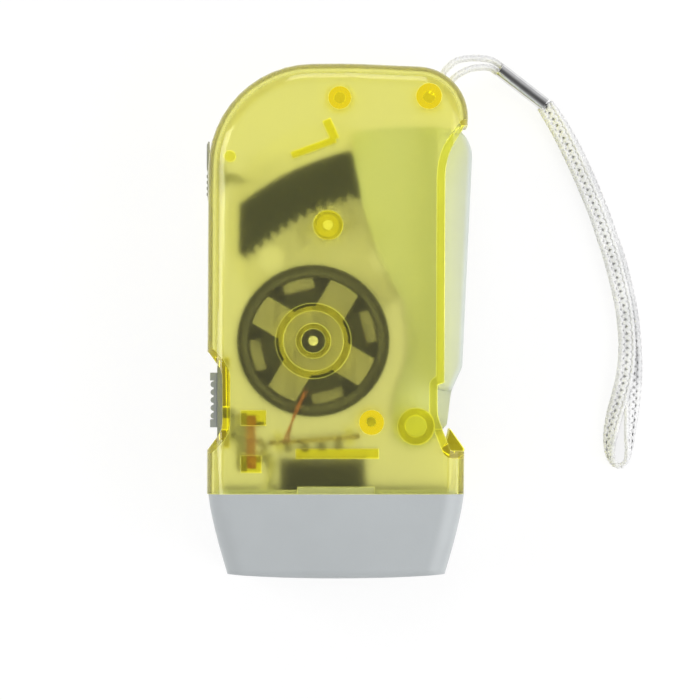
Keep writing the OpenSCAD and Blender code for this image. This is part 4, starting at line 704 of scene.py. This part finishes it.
def make_lamps(scene, look):
    for name, place, share in LAMPS:
        lamp = bpy.data.objects.new(name, bpy.data.lights.new(name, "AREA"))
        lamp.data.energy = look.lamp_power * share
        lamp.data.size = LAMP_SIZE
        lamp.location = place
        lamp.rotation_mode = "QUATERNION"
        lamp.rotation_quaternion = Vector(place).to_track_quat("Z", "Y")
        scene.collection.objects.link(lamp)


class TORCH_OT_stage(Operator):
    """Makes the camera, the floor, the room light and the lamps"""
    bl_idname = "torch.stage"
    bl_label = "Stage"

    def execute(self, context):
        scene = context.scene
        scene.view_settings.view_transform = "Standard"
        make_camera(scene)
        make_floor()
        make_room(scene, scene.torch_look)
        make_lamps(scene, scene.torch_look)
        return {"FINISHED"}


class TORCH_OT_strap(Operator):
    bl_idname = "torch.strap"
    bl_label = "Wrist strap"

    def execute(self, context):
        sizes = context.scene.torch_sizes
        white = braid_finish("white braid", paint(246, 246, 246), paint(205, 206, 208))
        strap = Braid(sizes.strap_width / MM, sizes.strap_thickness / MM, sizes.strap_yarns,
                      sizes.strap_lay / MM, *STRAP_YARN)
        route, length = smooth_route(STRAP_LOOP, STRAP_STEP)
        braid = braid_mesh("strap_braid", strap, route, length, strap_frames(route, on_edge))
        braid.data.materials.append(white)
        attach(braid, "case")
        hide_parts("wrist_strap")
        path = [tuple(p * MM) for p, _ in route]
        length * MM
        thin = sizes.strand_width / MM
        strand = Braid(thin, thin, STRAND_YARNS, STRAND_LAY, *STRAND_YARN)
        route, length = smooth_route(STRAND_OUT + STRAND_TURN + STRAND_BACK, STRAND_STEP)
        cord = braid_mesh("strap_strands", strand, route, length, strap_frames(route, lying_flat))
        cord.data.materials.append(white)
        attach(cord, "case")
        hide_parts("strap_strand_1", "strap_strand_2")
        path = [tuple(p * MM) for p, _ in route]
        length * MM
        return {"FINISHED"}


class TORCH_OT_coil(Operator):
    """Winds the coil of the dynamo"""
    bl_idname = "torch.coil"
    bl_label = "Coil"

    def execute(self, context):
        low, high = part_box("coil_winding")
        centre = ((low.x + high.x) / 2 / MM, (low.y + high.y) / 2 / MM)
        outer = (high.x - low.x) / 2 / MM
        inner = outer * COIL_BORE
        bottom, top = low.z / MM + COIL_GAP, high.z / MM - COIL_GAP
        turns = round((top - bottom) / (context.scene.torch_sizes.wire_pitch / MM))
        wire = (top - bottom) / turns
        profile = [(inner, top), (inner, bottom)]
        for i in range(turns):
            for k in range(WIRE_POINTS):
                a = math.pi * (k + 0.5) / WIRE_POINTS
                radius = outer - wire / 2 + math.sin(a) * wire / 2
                profile.append((radius, bottom + wire * (i + 0.5 - math.cos(a) / 2)))
        coil = turned_mesh("wound_coil", profile, centre)
        enamel = winding_finish("enamelled winding", (0.52, 0.2, 0.07), (0.25, 0.08, 0.03))
        coil.data.materials.append(enamel)
        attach(coil, "case")
        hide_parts("coil_winding")
        return {"FINISHED"}


class TORCH_OT_case(Operator):
    """Finishes the clear shells, the lens, the lamps and the reflector"""
    bl_idname = "torch.case"
    bl_label = "Clear case and lens"

    def execute(self, context):
        dress(["front_shell", "back_shell"], clear_case_finish(context.scene.torch_look))
        dress(["lens"], window_finish("clear lens", (0.97, 0.98, 0.98), roughness=0.03, ior=1.49))
        dress(["led_left", "led_middle", "led_right"],
              clear_finish("lamp resin", (0.95, 0.97, 0.98), roughness=0.08, ior=1.5))
        # the reflector's inner faces get a painted glow of grey
        dress(["reflector"],
              metal_finish("bright reflector", (0.86, 0.87, 0.89), 0.12, brush=(30.0, 30.0, 30.0),
                           within=0.45))
        return {"FINISHED"}


class TORCH_OT_mouldings(Operator):
    """Finishes the grey, black and white mouldings"""
    bl_idname = "torch.mouldings"
    bl_label = "Mouldings"

    def execute(self, context):
        dress(["head_bezel"], moulded_finish("grey head", paint(186, 191, 193), 0.36, 0.04))
        dress(["lever_arm"], moulded_finish("pale grey lever", paint(208, 215, 207), 0.42, 0.04))
        dress(["lock_slider"], moulded_finish("pale grey lock", paint(160, 161, 148), 0.4, 0.05))
        dress(["switch_knob"], moulded_finish("grey knob", paint(172, 176, 177), 0.42, 0.08))
        dress(["switch_guide"], moulded_finish("grey guide", paint(140, 144, 146), 0.5, 0.08))
        dress(["sector_gear"], moulded_finish("black sector", (0.014, 0.017, 0.014), 0.4, 0.1, shine=0.2))
        dress(["diodes"], moulded_finish("diode glass", paint(176, 166, 120), 0.3, 0.1))
        dress(["flywheel_rim", "coil_bobbin"],
              moulded_finish("black moulding", (0.016, 0.017, 0.015), 0.42, 0.12, shine=0.2))
        dress(["battery_sleeve"],
              moulded_finish("black sleeve", (0.016, 0.018, 0.016), 0.3, 0.1, grain=700.0, depth=0.0001,
                             shine=0.2))
        dress(["ratchet_pinion", "drive_gear", "flywheel_pinion"],
              milky_finish("milky gear", paint(252, 252, 246), roughness=0.5, clearness=0.8))
        dress(["switch_wires"], moulded_finish("white wire", paint(250, 250, 244), 0.4, 0.03))
        return {"FINISHED"}


class TORCH_OT_metals(Operator):
    """Finishes the steel, magnet, copper and board pieces"""
    bl_idname = "torch.metals"
    bl_label = "Metal and boards"

    def execute(self, context):
        dress(["cell_1", "cell_2", "cell_3", "cell_tabs", "lever_spring"],
              metal_finish("plain steel", (0.62, 0.62, 0.61), 0.26))
        dress(["gear_axle", "flywheel_shaft", "switch_pins", "housing_screws"],
              metal_finish("ground steel", (0.88, 0.88, 0.86), 0.5, metallic=0.35))
        dress(["switch_frame"], metal_finish("tinned frame", (0.66, 0.66, 0.64), 0.34))
        dress(["strap_ferrule"],
              metal_finish("bright ferrule", (0.82, 0.82, 0.83), 0.14, brush=(300.0, 300.0, 300.0)))
        dress(["rear_claw_plate", "front_claw_plate"],
              metal_finish("plated claw plate", (0.58, 0.56, 0.5), 0.4, brush=(900.0, 60.0, 60.0),
                           metallic=0.85))
        dress(["ring_magnet"],
              metal_finish("ring magnet", (0.1, 0.1, 0.105), 0.5, brush=(90.0, 90.0, 90.0), metallic=0.4))
        dress(["coil_leads"], winding_finish("copper lead", (0.75, 0.24, 0.08), (0.5, 0.14, 0.05)))
        dress(["circuit_board"], board_finish("paper board", paint(128, 112, 58), (0.4, 0.34, 0.18)))
        dress(["switch_base"], board_finish("switch base", paint(165, 100, 40), (0.42, 0.2, 0.07)))
        dress(["lamp_board"], board_finish("lamp board", paint(34, 96, 60), (0.3, 0.5, 0.3)))
        return {"FINISHED"}


OPERATORS = (TORCH_OT_stage, TORCH_OT_strap, TORCH_OT_coil, TORCH_OT_case, TORCH_OT_mouldings,
             TORCH_OT_metals)


class TORCH_PT_panel(Panel):
    """Lists the torch's sizes, its look and its steps in the sidebar"""
    bl_idname = "TORCH_PT_panel"
    bl_label = "Torch"
    bl_space_type = "VIEW_3D"
    bl_region_type = "UI"
    bl_category = "Torch"

    def draw(self, context):
        for group in (context.scene.torch_sizes, context.scene.torch_look):
            box = self.layout.box()
            for name in group.__annotations__:
                box.prop(group, name)
        for operator in OPERATORS:
            self.layout.operator(operator.bl_idname)


CLASSES = (TorchSizes, TorchLook, *OPERATORS, TORCH_PT_panel)


def register():
    for made in CLASSES:
        bpy.utils.register_class(made)
    bpy.types.Scene.torch_sizes = PointerProperty(type=TorchSizes)
    bpy.types.Scene.torch_look = PointerProperty(type=TorchLook)


def unregister():
    del bpy.types.Scene.torch_look
    del bpy.types.Scene.torch_sizes
    for made in reversed(CLASSES):
        bpy.utils.unregister_class(made)


def main():
    register()
    bpy.ops.torch.stage()
    bpy.ops.torch.strap()
    bpy.ops.torch.coil()
    bpy.ops.torch.case()
    bpy.ops.torch.mouldings()
    bpy.ops.torch.metals()


if __name__ == "__main__":
    main()
